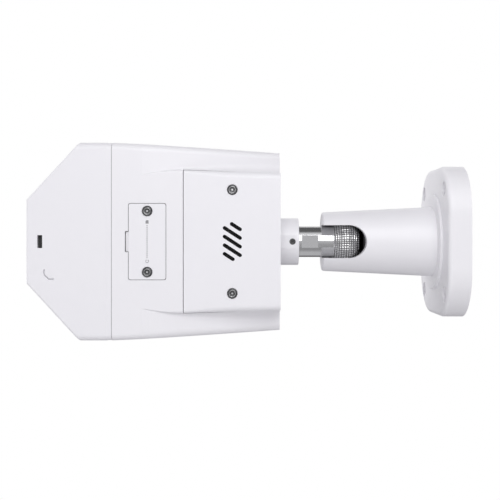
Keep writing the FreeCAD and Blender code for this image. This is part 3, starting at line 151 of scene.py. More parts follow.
def make_room(level, ceiling, side_gain, tint):
    world = bpy.data.worlds.new("pale_room")
    bpy.context.scene.world = world
    world.use_nodes = True
    tree = world.node_tree
    tree.nodes.clear()
    direction = node(tree, "ShaderNodeTexCoord", (-900, 0))
    split = node(tree, "ShaderNodeSeparateXYZ", (-720, 0))
    side = node(tree, "ShaderNodeMapRange", (-540, 120))
    side.inputs["From Min"].default_value = -1.0
    side.inputs["To Min"].default_value = level - side_gain
    side.inputs["To Max"].default_value = level + side_gain
    above = node(tree, "ShaderNodeMapRange", (-540, -120))
    above.inputs["To Min"].default_value = 1.0
    above.inputs["To Max"].default_value = ceiling / level
    bright = node(tree, "ShaderNodeMath", (-340, 0), operation="MULTIPLY")
    coloured = node(tree, "ShaderNodeVectorMath", (-200, 0), operation="SCALE")
    coloured.inputs[0].default_value = tint
    rays = node(tree, "ShaderNodeLightPath", (-200, 420))
    chosen = node(tree, "ShaderNodeMix", (80, 60), data_type="RGBA")
    room = node(tree, "ShaderNodeBackground", (260, 80))
    backdrop = node(tree, "ShaderNodeBackground", (260, -80))
    backdrop.inputs["Color"].default_value = (1, 1, 1, 1)
    mix = node(tree, "ShaderNodeMixShader", (460, 0))
    out = node(tree, "ShaderNodeOutputWorld", (640, 0))
    link(tree, direction.outputs["Generated"], split.inputs[0])
    link(tree, split.outputs["X"], side.inputs["Value"])
    link(tree, split.outputs["Z"], above.inputs["Value"])
    link(tree, side.outputs["Result"], bright.inputs[0])
    link(tree, above.outputs["Result"], bright.inputs[1])
    link(tree, bright.outputs[0], coloured.inputs["Scale"])
    link(tree, rays.outputs["Is Glossy Ray"], chosen.inputs["Factor"])
    link(tree, coloured.outputs[0], chosen.inputs["A"])
    link(tree, room_seen_in_mirrors(tree, split), chosen.inputs["B"])
    link(tree, chosen.outputs["Result"], room.inputs["Color"])
    link(tree, rays.outputs["Is Camera Ray"], mix.inputs[0])
    link(tree, room.outputs[0], mix.inputs[1])
    link(tree, backdrop.outputs[0], mix.inputs[2])
    link(tree, mix.outputs[0], out.inputs["Surface"])


def soft_lamp(name, place, target, size, power):
    data = bpy.data.lights.new(name, "AREA")
    data.shape = "RECTANGLE"
    data.size, data.size_y = size
    data.energy = power
    lamp = bpy.data.objects.new(name, data)
    bpy.context.scene.collection.objects.link(lamp)
    aim = Vector(target) - Vector(place)
    lamp.matrix_world = Matrix.Translation(place) @ aim.to_track_quat("-Z", "Y").to_matrix().to_4x4()
    lamp.visible_camera = False
    return lamp


# %% Room, lamps and floor
FLOOR_Z = -0.80
FLOOR_HALF = 4.0

make_room(level=0.42, ceiling=0.72, side_gain=0.05, tint=(1.0, 0.983, 1.035))
middle = (0, VIEW_Y, 0)
soft_lamp("key_lamp", (0.38, -0.08, -0.68), middle, (0.46, 0.56), 2.5)
soft_lamp("fill_lamp", (-0.50, -0.40, -0.60), middle, (0.5, 0.5), 0.8)
soft_lamp("front_lamp", (0.10, -1.05, 0.30), middle, (0.7, 0.5), 3.0)
soft_lamp("top_lamp", (0.35, -0.10, 0.95), middle, (1.0, 1.0), 2.4)
bpy.context.scene.view_settings.view_transform = "Standard"


def make_floor():
    mesh = bpy.data.meshes.new("floor")
    corners = [(-FLOOR_HALF, -FLOOR_HALF, FLOOR_Z), (FLOOR_HALF, -FLOOR_HALF, FLOOR_Z),
               (FLOOR_HALF, FLOOR_HALF, FLOOR_Z), (-FLOOR_HALF, FLOOR_HALF, FLOOR_Z)]
    mesh.from_pydata(corners, [], [(0, 1, 2, 3)])
    floor = bpy.data.objects.new("floor", mesh)
    bpy.context.scene.collection.objects.link(floor)
    floor.visible_glossy = False
    return floor


floor = make_floor()

# %% [markdown]
# ## Effects that several finishes share
# Each effect is one shader node group with named sockets, made once and used in many materials with
# other numbers. A group only puts out masks and normals. The Principled shader stays in each material,
# so that its plain numbers can be read straight from its sockets. All patterns read Object
# coordinates, which are metres here, so a scale of 1000 means one cell for each millimetre.

# %% Shader groups


def shader_group(name, inputs, outputs):
    tree = bpy.data.node_groups.new(name, "ShaderNodeTree")
    for label, kind, value in inputs:
        socket = tree.interface.new_socket(label, in_out="INPUT", socket_type=kind)
        socket.default_value = value
    for label, kind in outputs:
        tree.interface.new_socket(label, in_out="OUTPUT", socket_type=kind)
    return tree, node(tree, "NodeGroupInput", (-900, 0)), node(tree, "NodeGroupOutput", (500, 0))


FLOAT = "NodeSocketFloat"
VECTOR = "NodeSocketVector"


def noise_bump(tree, given, detail, place=(-500, 0)):
    """Noise on Object coordinates, turned into a bump: gives the noise node and the bump node."""
    where = node(tree, "ShaderNodeTexCoord", (place[0] - 200, place[1] - 200))
    noise = node(tree, "ShaderNodeTexNoise", place)
    noise.inputs["Detail"].default_value = detail
    bump = node(tree, "ShaderNodeBump", (place[0] + 400, place[1] - 120))
    bump.inputs["Strength"].default_value = 1.0
    link(tree, where.outputs["Object"], noise.inputs["Vector"])
    link(tree, given.outputs["Scale"], noise.inputs["Scale"])
    link(tree, noise.outputs[0], bump.inputs["Height"])
    link(tree, given.outputs["Height"], bump.inputs["Distance"])
    return noise, bump


def make_fine_texture():
    tree, given, out = shader_group("fine_texture",
                                    [("Scale", FLOAT, 900.0), ("Height", FLOAT, 0.00001)],
                                    [("Mask", FLOAT), ("Normal", VECTOR)])
    noise, bump = noise_bump(tree, given, 2.0)
    link(tree, noise.outputs[0], out.inputs["Mask"])
    link(tree, bump.outputs["Normal"], out.inputs["Normal"])
    return tree


def make_handling_marks():
    """Wide faint patches, as hands and a cloth leave on any surface."""
    tree, given, out = shader_group("handling_marks",
                                    [("Scale", FLOAT, 18.0), ("Low", FLOAT, 0.3), ("High", FLOAT, 0.4)],
                                    [("Value", FLOAT), ("Mask", FLOAT)])
    where = node(tree, "ShaderNodeTexCoord", (-760, -200))
    noise = node(tree, "ShaderNodeTexNoise", (-520, 0))
    noise.inputs["Detail"].default_value = 4.0
    noise.inputs["Roughness"].default_value = 0.6
    spread = node(tree, "ShaderNodeMapRange", (-260, 0))
    spread.inputs["From Min"].default_value = 0.3
    spread.inputs["From Max"].default_value = 0.7
    link(tree, where.outputs["Object"], noise.inputs["Vector"])
    link(tree, given.outputs["Scale"], noise.inputs["Scale"])
    link(tree, noise.outputs[0], spread.inputs["Value"])
    link(tree, given.outputs["Low"], spread.inputs["To Min"])
    link(tree, given.outputs["High"], spread.inputs["To Max"])
    link(tree, spread.outputs["Result"], out.inputs["Value"])
    link(tree, noise.outputs[0], out.inputs["Mask"])
    return tree


def make_turned_lines():
    """Fine rings round the Y axis, left by a lathe: the pattern changes along Y only."""
    tree, given, out = shader_group("turned_lines",
                                    [("Scale", FLOAT, 4000.0), ("Height", FLOAT, 0.000002),
                                     ("Low", FLOAT, 0.1), ("High", FLOAT, 0.2)],
                                    [("Value", FLOAT), ("Normal", VECTOR)])
    where = node(tree, "ShaderNodeTexCoord", (-900, -260))
    split = node(tree, "ShaderNodeSeparateXYZ", (-720, -260))
    noise = node(tree, "ShaderNodeTexNoise", (-520, 0), noise_dimensions="1D")
    noise.inputs["Detail"].default_value = 3.0
    spread = node(tree, "ShaderNodeMapRange", (-260, 160))
    bump = node(tree, "ShaderNodeBump", (-100, -140))
    link(tree, where.outputs["Object"], split.inputs[0])
    link(tree, split.outputs["Y"], noise.inputs["W"])
    link(tree, given.outputs["Scale"], noise.inputs["Scale"])
    link(tree, noise.outputs[0], spread.inputs["Value"])
    link(tree, given.outputs["Low"], spread.inputs["To Min"])
    link(tree, given.outputs["High"], spread.inputs["To Max"])
    link(tree, noise.outputs[0], bump.inputs["Height"])
    link(tree, given.outputs["Height"], bump.inputs["Distance"])
    link(tree, spread.outputs["Result"], out.inputs["Value"])
    link(tree, bump.outputs["Normal"], out.inputs["Normal"])
    return tree


GROUPS = {
    "fine_texture": make_fine_texture(),
    "handling_marks": make_handling_marks(),
    "turned_lines": make_turned_lines(),
}
print("shared effects:", sorted(GROUPS))

# %% [markdown]
# ## Finishes
# One function makes the body of every material: a Principled shader with plain numbers, a colour that
# drifts a little between two shades, and a roughness that drifts between two values. A finish is never
# one flat colour. Even new paint varies a little, and that is what makes it look like paint.
# Each material has the name of the record's slot, so that a slot can be found and repainted.

# %% Material helpers
COAT_ROUGHNESS = 0.12
FILM_IOR = 1.38


def plain_material(name, metallic=0.0, ior=1.5, coat=0.0, transmission=0.0, film=0.0):
    material = bpy.data.materials.new(name)
    material.use_nodes = True
    tree = material.node_tree
    shader = tree.nodes["Principled BSDF"]
    shader.inputs["Metallic"].default_value = metallic
    shader.inputs["IOR"].default_value = ior
    shader.inputs["Coat Weight"].default_value = coat
    shader.inputs["Coat Roughness"].default_value = COAT_ROUGHNESS
    shader.inputs["Transmission Weight"].default_value = transmission
    shader.inputs["Thin Film Thickness"].default_value = film
    shader.inputs["Thin Film IOR"].default_value = FILM_IOR
    return material, tree, shader


def use_group(tree, name, place, **values):
    made = node(tree, "ShaderNodeGroup", place)
    made.node_tree = GROUPS[name]
    for label, value in values.items():
        made.inputs[label.capitalize()].default_value = value
    return made


def drifting_colour(tree, shader, mask, first, second):
    mix = node(tree, "ShaderNodeMix", (-260, 240), data_type="RGBA")
    mix.inputs["A"].default_value = (*first, 1)
    mix.inputs["B"].default_value = (*second, 1)
    link(tree, mask, mix.inputs["Factor"])
    link(tree, mix.outputs["Result"], shader.inputs["Base Color"])


def finish(name, first, second, rough, grain, height, patches=18.0, **plain):
    """A finish with a drifting colour, drifting roughness and a fine surface texture."""
    material, tree, shader = plain_material(name, **plain)
    marks = use_group(tree, "handling_marks", (-560, 140), scale=patches, low=rough[0], high=rough[1])
    surface = use_group(tree, "fine_texture", (-560, -160), scale=grain, height=height)
    drifting_colour(tree, shader, marks.outputs["Mask"], first, second)
    link(tree, marks.outputs["Value"], shader.inputs["Roughness"])
    link(tree, surface.outputs["Normal"], shader.inputs["Normal"])
    return material


def turned_finish(name, first, second, rough, lines, height):
    """Metal turned on a lathe, with rings round the Y axis."""
    material, tree, shader = plain_material(name, metallic=1.0)
    marks = use_group(tree, "handling_marks", (-560, 240), scale=60.0)
    rings = use_group(tree, "turned_lines", (-560, -120), scale=lines, height=height,
                      low=rough[0], high=rough[1])
    drifting_colour(tree, shader, marks.outputs["Mask"], first, second)
    link(tree, rings.outputs["Value"], shader.inputs["Roughness"])
    link(tree, rings.outputs["Normal"], shader.inputs["Normal"])
    return material


# %% The slots' finishes
FINISHES = {
    "white_paint": finish("white_paint", (0.862, 0.858, 0.882), (0.880, 0.875, 0.895),
                          (0.34, 0.42), grain=1100.0, height=0.000012),
    "white_plastic": finish("white_plastic", (0.856, 0.852, 0.878), (0.874, 0.870, 0.892),
                            (0.40, 0.48), grain=2600.0, height=0.000006),
    "polished_steel": turned_finish("polished_steel", (0.58, 0.58, 0.59), (0.66, 0.66, 0.665),
                                    (0.10, 0.19), lines=5200.0, height=0.0000012),
    "dark_screw": finish("dark_screw", (0.085, 0.085, 0.088), (0.125, 0.125, 0.128),
                         (0.24, 0.34), grain=3000.0, height=0.000003, patches=300.0, metallic=0.9),
    "plain_steel": finish("plain_steel", (0.50, 0.50, 0.51), (0.60, 0.60, 0.60),
                          (0.28, 0.40), grain=2400.0, height=0.000003, patches=120.0, metallic=1.0),
    "seal_rubber": finish("seal_rubber", (0.020, 0.020, 0.021), (0.034, 0.034, 0.034),
                          (0.60, 0.78), grain=1500.0, height=0.00001),
    "lens_black": finish("lens_black", (0.012, 0.012, 0.013), (0.020, 0.020, 0.021),
                         (0.42, 0.56), grain=2200.0, height=0.000006),
    "chip_black": finish("chip_black", (0.022, 0.022, 0.024), (0.035, 0.035, 0.036),
                         (0.50, 0.62), grain=4000.0, height=0.000004),
    "bare_aluminium": finish("bare_aluminium", (0.66, 0.67, 0.68), (0.74, 0.74, 0.75),
                             (0.34, 0.48), grain=1800.0, height=0.000004, metallic=1.0),
    "reflector": finish("reflector", (0.82, 0.82, 0.82), (0.88, 0.88, 0.88),
                        (0.08, 0.14), grain=2600.0, height=0.000001, metallic=1.0),
    "speaker_paper": finish("speaker_paper", (0.030, 0.030, 0.031), (0.050, 0.049, 0.048),
                            (0.72, 0.85), grain=1300.0, height=0.00003, patches=160.0),
    "acoustic_mesh": finish("acoustic_mesh", (0.016, 0.016, 0.017), (0.026, 0.026, 0.027),
                            (0.50, 0.66), grain=5000.0, height=0.000004),
    "button_plastic": finish("button_plastic", (0.62, 0.08, 0.06), (0.72, 0.11, 0.08),
                             (0.34, 0.44), grain=2600.0, height=0.000004),
    "board_green": finish("board_green", (0.012, 0.100, 0.050), (0.020, 0.150, 0.075),
                          (0.26, 0.36), grain=1400.0, height=0.000008, patches=260.0, coat=0.5),
    "smoked_pane": finish("smoked_pane", (0.60, 0.61, 0.64), (0.64, 0.65, 0.67),
                          (0.015, 0.035), grain=60.0, height=0.0000002, transmission=1.0, ior=1.49),
    "lens_glass": finish("lens_glass", (0.72, 0.76, 0.90), (0.80, 0.80, 0.88),
                         (0.005, 0.012), grain=60.0, height=0.0000001, transmission=1.0, ior=1.70,
                         film=420.0),
    "clear_dome": finish("clear_dome", (0.93, 0.92, 0.86), (0.96, 0.95, 0.90),
                         (0.03, 0.06), grain=200.0, height=0.0000004, transmission=1.0, ior=1.50),
}
for piece in nodes.values():
    for place in piece.material_slots:
        place.material = FINISHES[place.material.name.split(".")[0]]
floor.data.materials.append(finish("floor_paint", (0.78, 0.78, 0.78), (0.82, 0.82, 0.82),
                                   (0.55, 0.65), grain=40.0, height=0.0002, patches=2.0))
print(len(FINISHES), "finishes are on", len(nodes), "pieces")

# %% [markdown]
# ## Helpers for geometry nodes
# A Geometry Nodes tree is a recipe: named inputs hold the sizes, and the modifier evaluates it. Here
# the recipes are written in code. An input is set by its socket's identifier before the object is first
# evaluated. The result is then baked into a plain mesh, because instances would be lost on export.

# %% Geometry helpers
GEOMETRY = "NodeSocketGeometry"
INTEGER = "NodeSocketInt"
MATERIAL = "NodeSocketMaterial"


class Recipe:
    """A Geometry Nodes tree with named inputs, and short ways to add and join its nodes."""

    def __init__(self, name, **inputs):
        self.tree = bpy.data.node_groups.new(name, "GeometryNodeTree")
        self.sockets = {}
        for label, value in inputs.items():
            kind = INTEGER if isinstance(value, int) else FLOAT if isinstance(value, float) else MATERIAL
            socket = self.tree.interface.new_socket(label, in_out="INPUT", socket_type=kind)
            socket.default_value = value
            self.sockets[label] = socket.identifier
        self.tree.interface.new_socket("Geometry", in_out="OUTPUT", socket_type=GEOMETRY)
        self.given = self.add("NodeGroupInput")
        self.values = dict(inputs)

    def add(self, kind, *links, **settings):
        """Adds a node. links are pairs of an input's name or number and a value or an output."""
        made = node(self.tree, kind, (200 * len(self.tree.nodes), 0), **settings)
        for where, what in links:
            if isinstance(what, bpy.types.NodeSocket):
                link(self.tree, what, made.inputs[where])
            else:
                made.inputs[where].default_value = what
        return made

    def __getitem__(self, label):
        return self.given.outputs[label]

    def math(self, operation, first, second=0.0):
        return self.add("ShaderNodeMath", (0, first), (1, second), operation=operation).outputs[0]

    def vector(self, x, y, z):
        return self.add("ShaderNodeCombineXYZ", (0, x), (1, y), (2, z)).outputs[0]

    def split(self, what):
        return self.add("ShaderNodeSeparateXYZ", (0, what)).outputs

    def grid(self, columns, rows):
        """Points on a unit square round the origin: gives the mesh and its X and Y."""
        made = self.add("GeometryNodeMeshGrid", ("Size X", 1.0), ("Size Y", 1.0),
                        ("Vertices X", columns), ("Vertices Y", rows))
        x, y, _ = self.split(self.add("GeometryNodeInputPosition").outputs[0])
        return made.outputs["Mesh"], x, y

    def tube(self, curve, radius, sides, caps=False):
        """Gives a curve a round section, as a mesh."""
        section = self.add("GeometryNodeCurvePrimitiveCircle", ("Resolution", sides), ("Radius", radius))
        return self.add("GeometryNodeCurveToMesh", ("Curve", curve), ("Profile Curve", section.outputs[0]),
                        ("Fill Caps", caps)).outputs[0]

    def hoops(self, points, radius, sides):
        """A unit circle round Y at each point, scaled to a radius that may differ from point to point."""
        hoop = self.add("GeometryNodeCurvePrimitiveCircle", ("Resolution", sides), ("Radius", 1.0))
        grown = self.add("GeometryNodeInstanceOnPoints", ("Points", points), ("Instance", hoop.outputs[0]),
                         ("Rotation", (math.pi / 2, 0, 0)), ("Scale", self.vector(radius, radius, radius)))
        return self.add("GeometryNodeRealizeInstances", (0, grown.outputs[0])).outputs[0]

    def finish(self, name, geometry, body, slot, places=(Matrix.Identity(4),)):
        """Ends the recipe, evaluates it into a plain mesh at each place, and lets it ride on its body."""
        real = self.add("GeometryNodeRealizeInstances", (0, geometry))
        coated = self.add("GeometryNodeSetMaterial", ("Geometry", real.outputs[0]),
                          ("Material", self["Material"]))
        out = self.add("NodeGroupOutput")
        link(self.tree, coated.outputs[0], out.inputs[0])
        carrier = bpy.data.objects.new(name + "_recipe", bpy.data.meshes.new(name + "_recipe"))
        bpy.context.scene.collection.objects.link(carrier)
        modifier = carrier.modifiers.new("recipe", "NODES")
        modifier.node_group = self.tree
        for label, value in self.values.items():
            modifier[self.sockets[label]] = value
        bpy.context.view_layer.update()
        shown = carrier.evaluated_get(bpy.context.evaluated_depsgraph_get())
        mesh = bpy.data.meshes.new_from_object(shown)
        mesh.name = name
        bpy.data.objects.remove(carrier)
        return add_piece(name, repeated(mesh, places), body, slot)


def closed_mesh(name, shape):
    """Turns a bmesh into a mesh, with its faces outward."""
    bmesh.ops.recalc_face_normals(shape, faces=shape.faces)
    mesh = bpy.data.meshes.new(name)
    shape.to_mesh(mesh)
    shape.free()
    return mesh


def join_loops(shape, loops):
    """Faces between each loop of points and the next. All loops have the same number of points."""
    for a, b in zip(loops, loops[1:]):
        for k in range(len(a)):
            n = (k + 1) % len(a)
            shape.faces.new((a[k], a[n], b[n], b[k]))


def band_mesh(name, outlines):
    """A closed band through four outlines, the last joined to the first."""
    shape = bmesh.new()
    loops = [[shape.verts.new(point) for point in outline] for outline in outlines]
    join_loops(shape, loops + loops[:1])
    return closed_mesh(name, shape)


def repeated(mesh, places):
    """The same mesh once at each place, as one mesh."""
    whole = bmesh.new()
    for place in places:
        copy = mesh.copy()
        copy.transform(place)
        whole.from_mesh(copy)
        bpy.data.meshes.remove(copy)
    whole.to_mesh(mesh)
    whole.free()
    return mesh


def add_piece(name, mesh, body, slot):
    piece = bpy.data.objects.new(name, mesh)
    bpy.context.scene.collection.objects.link(piece)
    if not mesh.materials:
        mesh.materials.append(FINISHES[slot])
    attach(piece, body)
    print(name, "has", len(mesh.polygons), "faces")
    return piece


# %% [markdown]
# ## Knurling on the ball
# The clamp grips the steel ball, so the ball's skin is rolled with a grid of small pyramids. They could
# be a bump in the material, but the ball is the shiniest thing here and its outline would stay smooth.
# So a recipe lays points in rows round the ball and stands one small four-sided frustum on each. The
# rows follow the Y axis, as they do when the ball is rolled on a lathe. They stop short of the shaft at
# one end and of the flat back at the other.

# %% Knurl
BALL_R = 14.0 * MM
BALL_Y = -78.0 * MM
KNURL_PITCH = 1.68 * MM
KNURL_HEIGHT = 0.26 * MM
KNURL_SINK = 0.04 * MM
KNURL_TOP_SHARE = 0.42
KNURL_AROUND = 52
KNURL_ROWS = 12
KNURL_FROM_DEG = -40.0
KNURL_TO_DEG = 37.0
VALLEY = 0.02 * MM
POLISHED_FROM = 0.16 * MM


def make_knurled_steel():
    """Polished tops and valleys painted dark as shade: the mask is the distance from the middle of the
    ball.
    """
    material, tree, shader = plain_material("knurled_steel", metallic=1.0)
    where = node(tree, "ShaderNodeTexCoord", (-900, 0))
    away = node(tree, "ShaderNodeVectorMath", (-720, 0), operation="DISTANCE")
    away.inputs[1].default_value = (0, BALL_Y, 0)
    rise = node(tree, "ShaderNodeMapRange", (-540, 0), interpolation_type="SMOOTHSTEP")
    rise.inputs["From Min"].default_value = BALL_R + VALLEY
    rise.inputs["From Max"].default_value = BALL_R + POLISHED_FROM
    marks = use_group(tree, "handling_marks", (-540, 300), scale=90.0, low=0.14, high=0.26)
    link(tree, where.outputs["Object"], away.inputs[0])
    link(tree, away.outputs["Value"], rise.inputs["Value"])
    # Painted shade: the valleys are darkened almost to black, standing in for the shade between the
    # pyramids.
    drifting_colour(tree, shader, rise.outputs["Result"], (0.05, 0.05, 0.05), (0.72, 0.72, 0.725))
    link(tree, marks.outputs["Value"], shader.inputs["Roughness"])
    return material


def make_knurl():
    recipe = Recipe("knurl_rows", Around=KNURL_AROUND, Rows=KNURL_ROWS, Radius=BALL_R - KNURL_SINK,
                    First=math.radians(KNURL_FROM_DEG), Last=math.radians(KNURL_TO_DEG),
                    Height=KNURL_HEIGHT, Pitch=KNURL_PITCH, Material=make_knurled_steel())
    grid, x, y = recipe.grid(recipe["Around"], recipe["Rows"])
    share = recipe.math("DIVIDE", recipe.math("SUBTRACT", recipe["Around"], 1.0), recipe["Around"])
    turn = recipe.math("MULTIPLY", recipe.math("MULTIPLY", x, 2 * math.pi), share)
    span = recipe.math("SUBTRACT", recipe["Last"], recipe["First"])
    tilt = recipe.math("ADD", recipe.math("MULTIPLY", recipe.math("ADD", y, 0.5), span), recipe["First"])
    slim = recipe.math("COSINE", tilt)
    normal = recipe.vector(recipe.math("MULTIPLY", slim, recipe.math("COSINE", turn)),
                           recipe.math("SINE", tilt),
                           recipe.math("MULTIPLY", slim, recipe.math("SINE", turn)))
    spot = recipe.add("ShaderNodeVectorMath", (0, normal), ("Scale", recipe["Radius"]), operation="SCALE")
    spot = recipe.add("ShaderNodeVectorMath", (0, spot.outputs[0]), (1, (0, BALL_Y, 0)), operation="ADD")
    # The normal is kept on the points, because an instance can't read it once they have moved.
    kept = recipe.add("GeometryNodeStoreNamedAttribute", ("Geometry", grid), ("Name", "normal"),
                      data_type="FLOAT_VECTOR", domain="POINT")
    link(recipe.tree, normal, kept.inputs["Value"])
    moved = recipe.add("GeometryNodeSetPosition", ("Geometry", kept.outputs[0]),
                       ("Position", spot.outputs[0]))
    half = recipe.math("MULTIPLY", recipe["Pitch"], 0.5 * math.sqrt(2.0))
    frustum = recipe.add("GeometryNodeMeshCone", ("Vertices", 4),
                         ("Radius Top", recipe.math("MULTIPLY", half, KNURL_TOP_SHARE)),
                         ("Radius Bottom", half), ("Depth", recipe["Height"]))
    outward = recipe.add("GeometryNodeInputNamedAttribute", ("Name", "normal"), data_type="FLOAT_VECTOR")
    stand = recipe.add("FunctionNodeAlignRotationToVector", ("Vector", outward.outputs[0]), axis="Z")
    across = recipe.add("ShaderNodeVectorMath", (0, outward.outputs[0]), (1, (0, 1, 0)),
                        operation="CROSS_PRODUCT")
    diagonal = recipe.add("ShaderNodeVectorMath", (0, across.outputs[0]), (1, (0, 1, 0)), operation="ADD")
    turned = recipe.add("FunctionNodeAlignRotationToVector", ("Rotation", stand.outputs[0]),
                        ("Vector", diagonal.outputs[0]), axis="X", pivot_axis="Z")
    placed = recipe.add("GeometryNodeInstanceOnPoints", ("Points", moved.outputs[0]),
                        ("Instance", frustum.outputs["Mesh"]), ("Rotation", turned.outputs[0]))
    return recipe.finish("ball_knurl", placed.outputs[0], "shaft", "polished_steel")


make_knurl()

# %% [markdown]
# ## Screws with a real drive
# Four black pan-head screws hold the two covers. Their heads stand out dark on the white body, and
# what makes them read as screws is the dished head and the six-lobed hole in it. One screw is modelled:
# rings of points from the bottom of the hole out to the rim and up the shank, joined ring by ring. A
# recipe then stands it at each place, and the two new pieces replace the plain CAD screws.

# %% One screw
HEAD_R = 3.4 * MM
HEAD_HIGH = 1.8 * MM
SHANK_R = 1.5 * MM
COVER_SCREW_LONG = 8.0 * MM
CARD_SCREW_LONG = 5.0 * MM
LOBES = 6
POINTS_IN_RING = 48
# The head from the floor of its drive to its rim. Each row is a share of the head's radius, a depth
# under the face in millimetres, and how deep the six lobes cut in.
HEAD_PROFILE = [(0.44, 1.05, 0.30), (0.47, 0.36, 0.30), (0.50, 0.34, 0.24), (0.58, 0.30, 0.0),
                (0.70, 0.04, 0.0), (0.78, 0.0, 0.0), (0.86, 0.10, 0.0), (0.94, 0.34, 0.0),
                (1.0, 0.75, 0.0)]


def ring_points(radius, z, wave=0.0):
    """A ring of points. wave is how deep the lobes cut into it, as a share of the radius."""
    points = []
    for k in range(POINTS_IN_RING):
        a = 2 * math.pi * k / POINTS_IN_RING
        r = radius * (1 - wave * (0.5 + 0.5 * math.cos(LOBES * a)))
        points.append((r * math.cos(a), r * math.sin(a), z))
    return points


def make_screw(name, shank_length):
    """A screw with the face of its head at z = 0 and its shank along +Z."""
    rings = [ring_points(HEAD_R * share, depth * MM, wave) for share, depth, wave in HEAD_PROFILE]
    rings += [ring_points(HEAD_R, HEAD_HIGH), ring_points(SHANK_R, HEAD_HIGH),
              ring_points(SHANK_R, HEAD_HIGH + shank_length)]
    shape = bmesh.new()
    loops = [[shape.verts.new(point) for point in ring] for ring in rings]
    join_loops(shape, loops)
    shape.faces.new(loops[0])
    shape.faces.new(loops[-1])
    return closed_mesh(name, shape)


def make_screw_pair(name, replaced, shank_length):
    low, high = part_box(replaced)
    master = bpy.data.objects.new(name + "_master", make_screw(name, shank_length))
    recipe = Recipe(name + "_pair", Spacing=high.x - low.x - 2 * HEAD_R, Count=2,
                    Material=FINISHES["dark_screw"])
    spacing = recipe["Spacing"]
    start = recipe.vector(recipe.math("MULTIPLY", spacing, -0.5), 0.0, 0.0)
    end = recipe.vector(recipe.math("MULTIPLY", spacing, 0.5), 0.0, 0.0)
    line = recipe.add("GeometryNodeMeshLine", ("Count", recipe["Count"]), ("Start Location", start),
                      ("Offset", end), mode="END_POINTS")
    screw = recipe.add("GeometryNodeObjectInfo", ("Object", master))
    turn = recipe.add("FunctionNodeRandomValue", ("Max", (0, 0, math.pi)), ("Seed", 3),
                      data_type="FLOAT_VECTOR")
    placed = recipe.add("GeometryNodeInstanceOnPoints", ("Points", line.outputs[0]),
                        ("Instance", screw.outputs["Geometry"]), ("Rotation", turn.outputs[0]))
    place = Matrix.Translation(((low.x + high.x) / 2, (low.y + high.y) / 2, low.z))
    pair = recipe.finish(name, placed.outputs[0], "camera", "dark_screw", [place])
    bpy.data.objects.remove(master)
    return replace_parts(pair, replaced)


make_screw_pair("rear_cover_screw_pair", "rear_cover_screws", COVER_SCREW_LONG)
make_screw_pair("card_cover_screw_pair", "sd_cover_screws", CARD_SCREW_LONG)

# %% [markdown]
# ## Painted glints in the screws
# Each dark head shows a light ring in its dish and a glint in its middle, which are highlights. They are
# painted
# here: one recipe makes a thin ring of bright steel, and a pin of bright steel standing in the middle of a
# tamper-proof drive, where the pin is real and its brightness is a painted glint. A mask in the material
# could do it too, but each spot is only a few tenths of a millimetre wide. They are repeated at the middle
# of each of the four heads.

# %% Painted glint rings and pins
GLINT_RING_R = 2.15 * MM
GLINT_RING_DEPTH = 0.30 * MM
GLINT_WIRE_R = 0.22 * MM
PIN_R = 0.62 * MM
PIN_LONG = 0.9 * MM
PIN_DEPTH = 0.85 * MM


def screw_middles(replaced):
    low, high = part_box(replaced)
    return [Vector((x, (low.y + high.y) / 2, low.z)) for x in (low.x + HEAD_R, high.x - HEAD_R)]


# The bright ring and the bright pin are painted highlights on the dark heads.
def make_screw_glints():
    recipe = Recipe("ring_and_pin", Ring=GLINT_RING_R, Wire=GLINT_WIRE_R, Pin=PIN_R, Long=PIN_LONG,
                    Material=FINISHES["plain_steel"])
    hoop = recipe.add("GeometryNodeCurvePrimitiveCircle", ("Resolution", 32), ("Radius", recipe["Ring"]))
    ring = recipe.tube(hoop.outputs[0], recipe["Wire"], 8)
    pin = recipe.add("GeometryNodeMeshCylinder", ("Vertices", 20), ("Radius", recipe["Pin"]),
                     ("Depth", recipe["Long"])).outputs["Mesh"]
    both = recipe.add("GeometryNodeJoinGeometry")
    for what, depth in ((ring, GLINT_RING_DEPTH), (pin, PIN_DEPTH)):
        sunk = recipe.add("GeometryNodeTransform", ("Geometry", what), ("Translation", (0, 0, depth)))
        link(recipe.tree, sunk.outputs[0], both.inputs[0])
    middles = screw_middles("rear_cover_screws") + screw_middles("sd_cover_screws")
    return recipe.finish("screw_worn_edges", both.outputs[0], "camera", "plain_steel",
                         [Matrix.Translation(middle) for middle in middles])


make_screw_glints()

# %% [markdown]
# ## Woven cloth behind the loudspeaker
# Behind the slits a disc of fine black wire cloth keeps dust out of the loudspeaker. The CAD model has a
# plain disc there. A recipe weaves real wires in its place: a row of straight lines in each direction,
# whose points go up and down in turn so that each wire passes over one and under the next.
# Only the points inside the disc are kept. The woven piece stands for the CAD disc, which is hidden.

# %% Speaker cloth
cloth_low, cloth_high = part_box("speaker_mesh")
CLOTH_R = (cloth_high.x - cloth_low.x) / 2
CLOTH_MIDDLE = (cloth_low + cloth_high) / 2
WIRE_R = 0.09 * MM
WIRES = 44
WAVE_RISE = 0.12 * MM


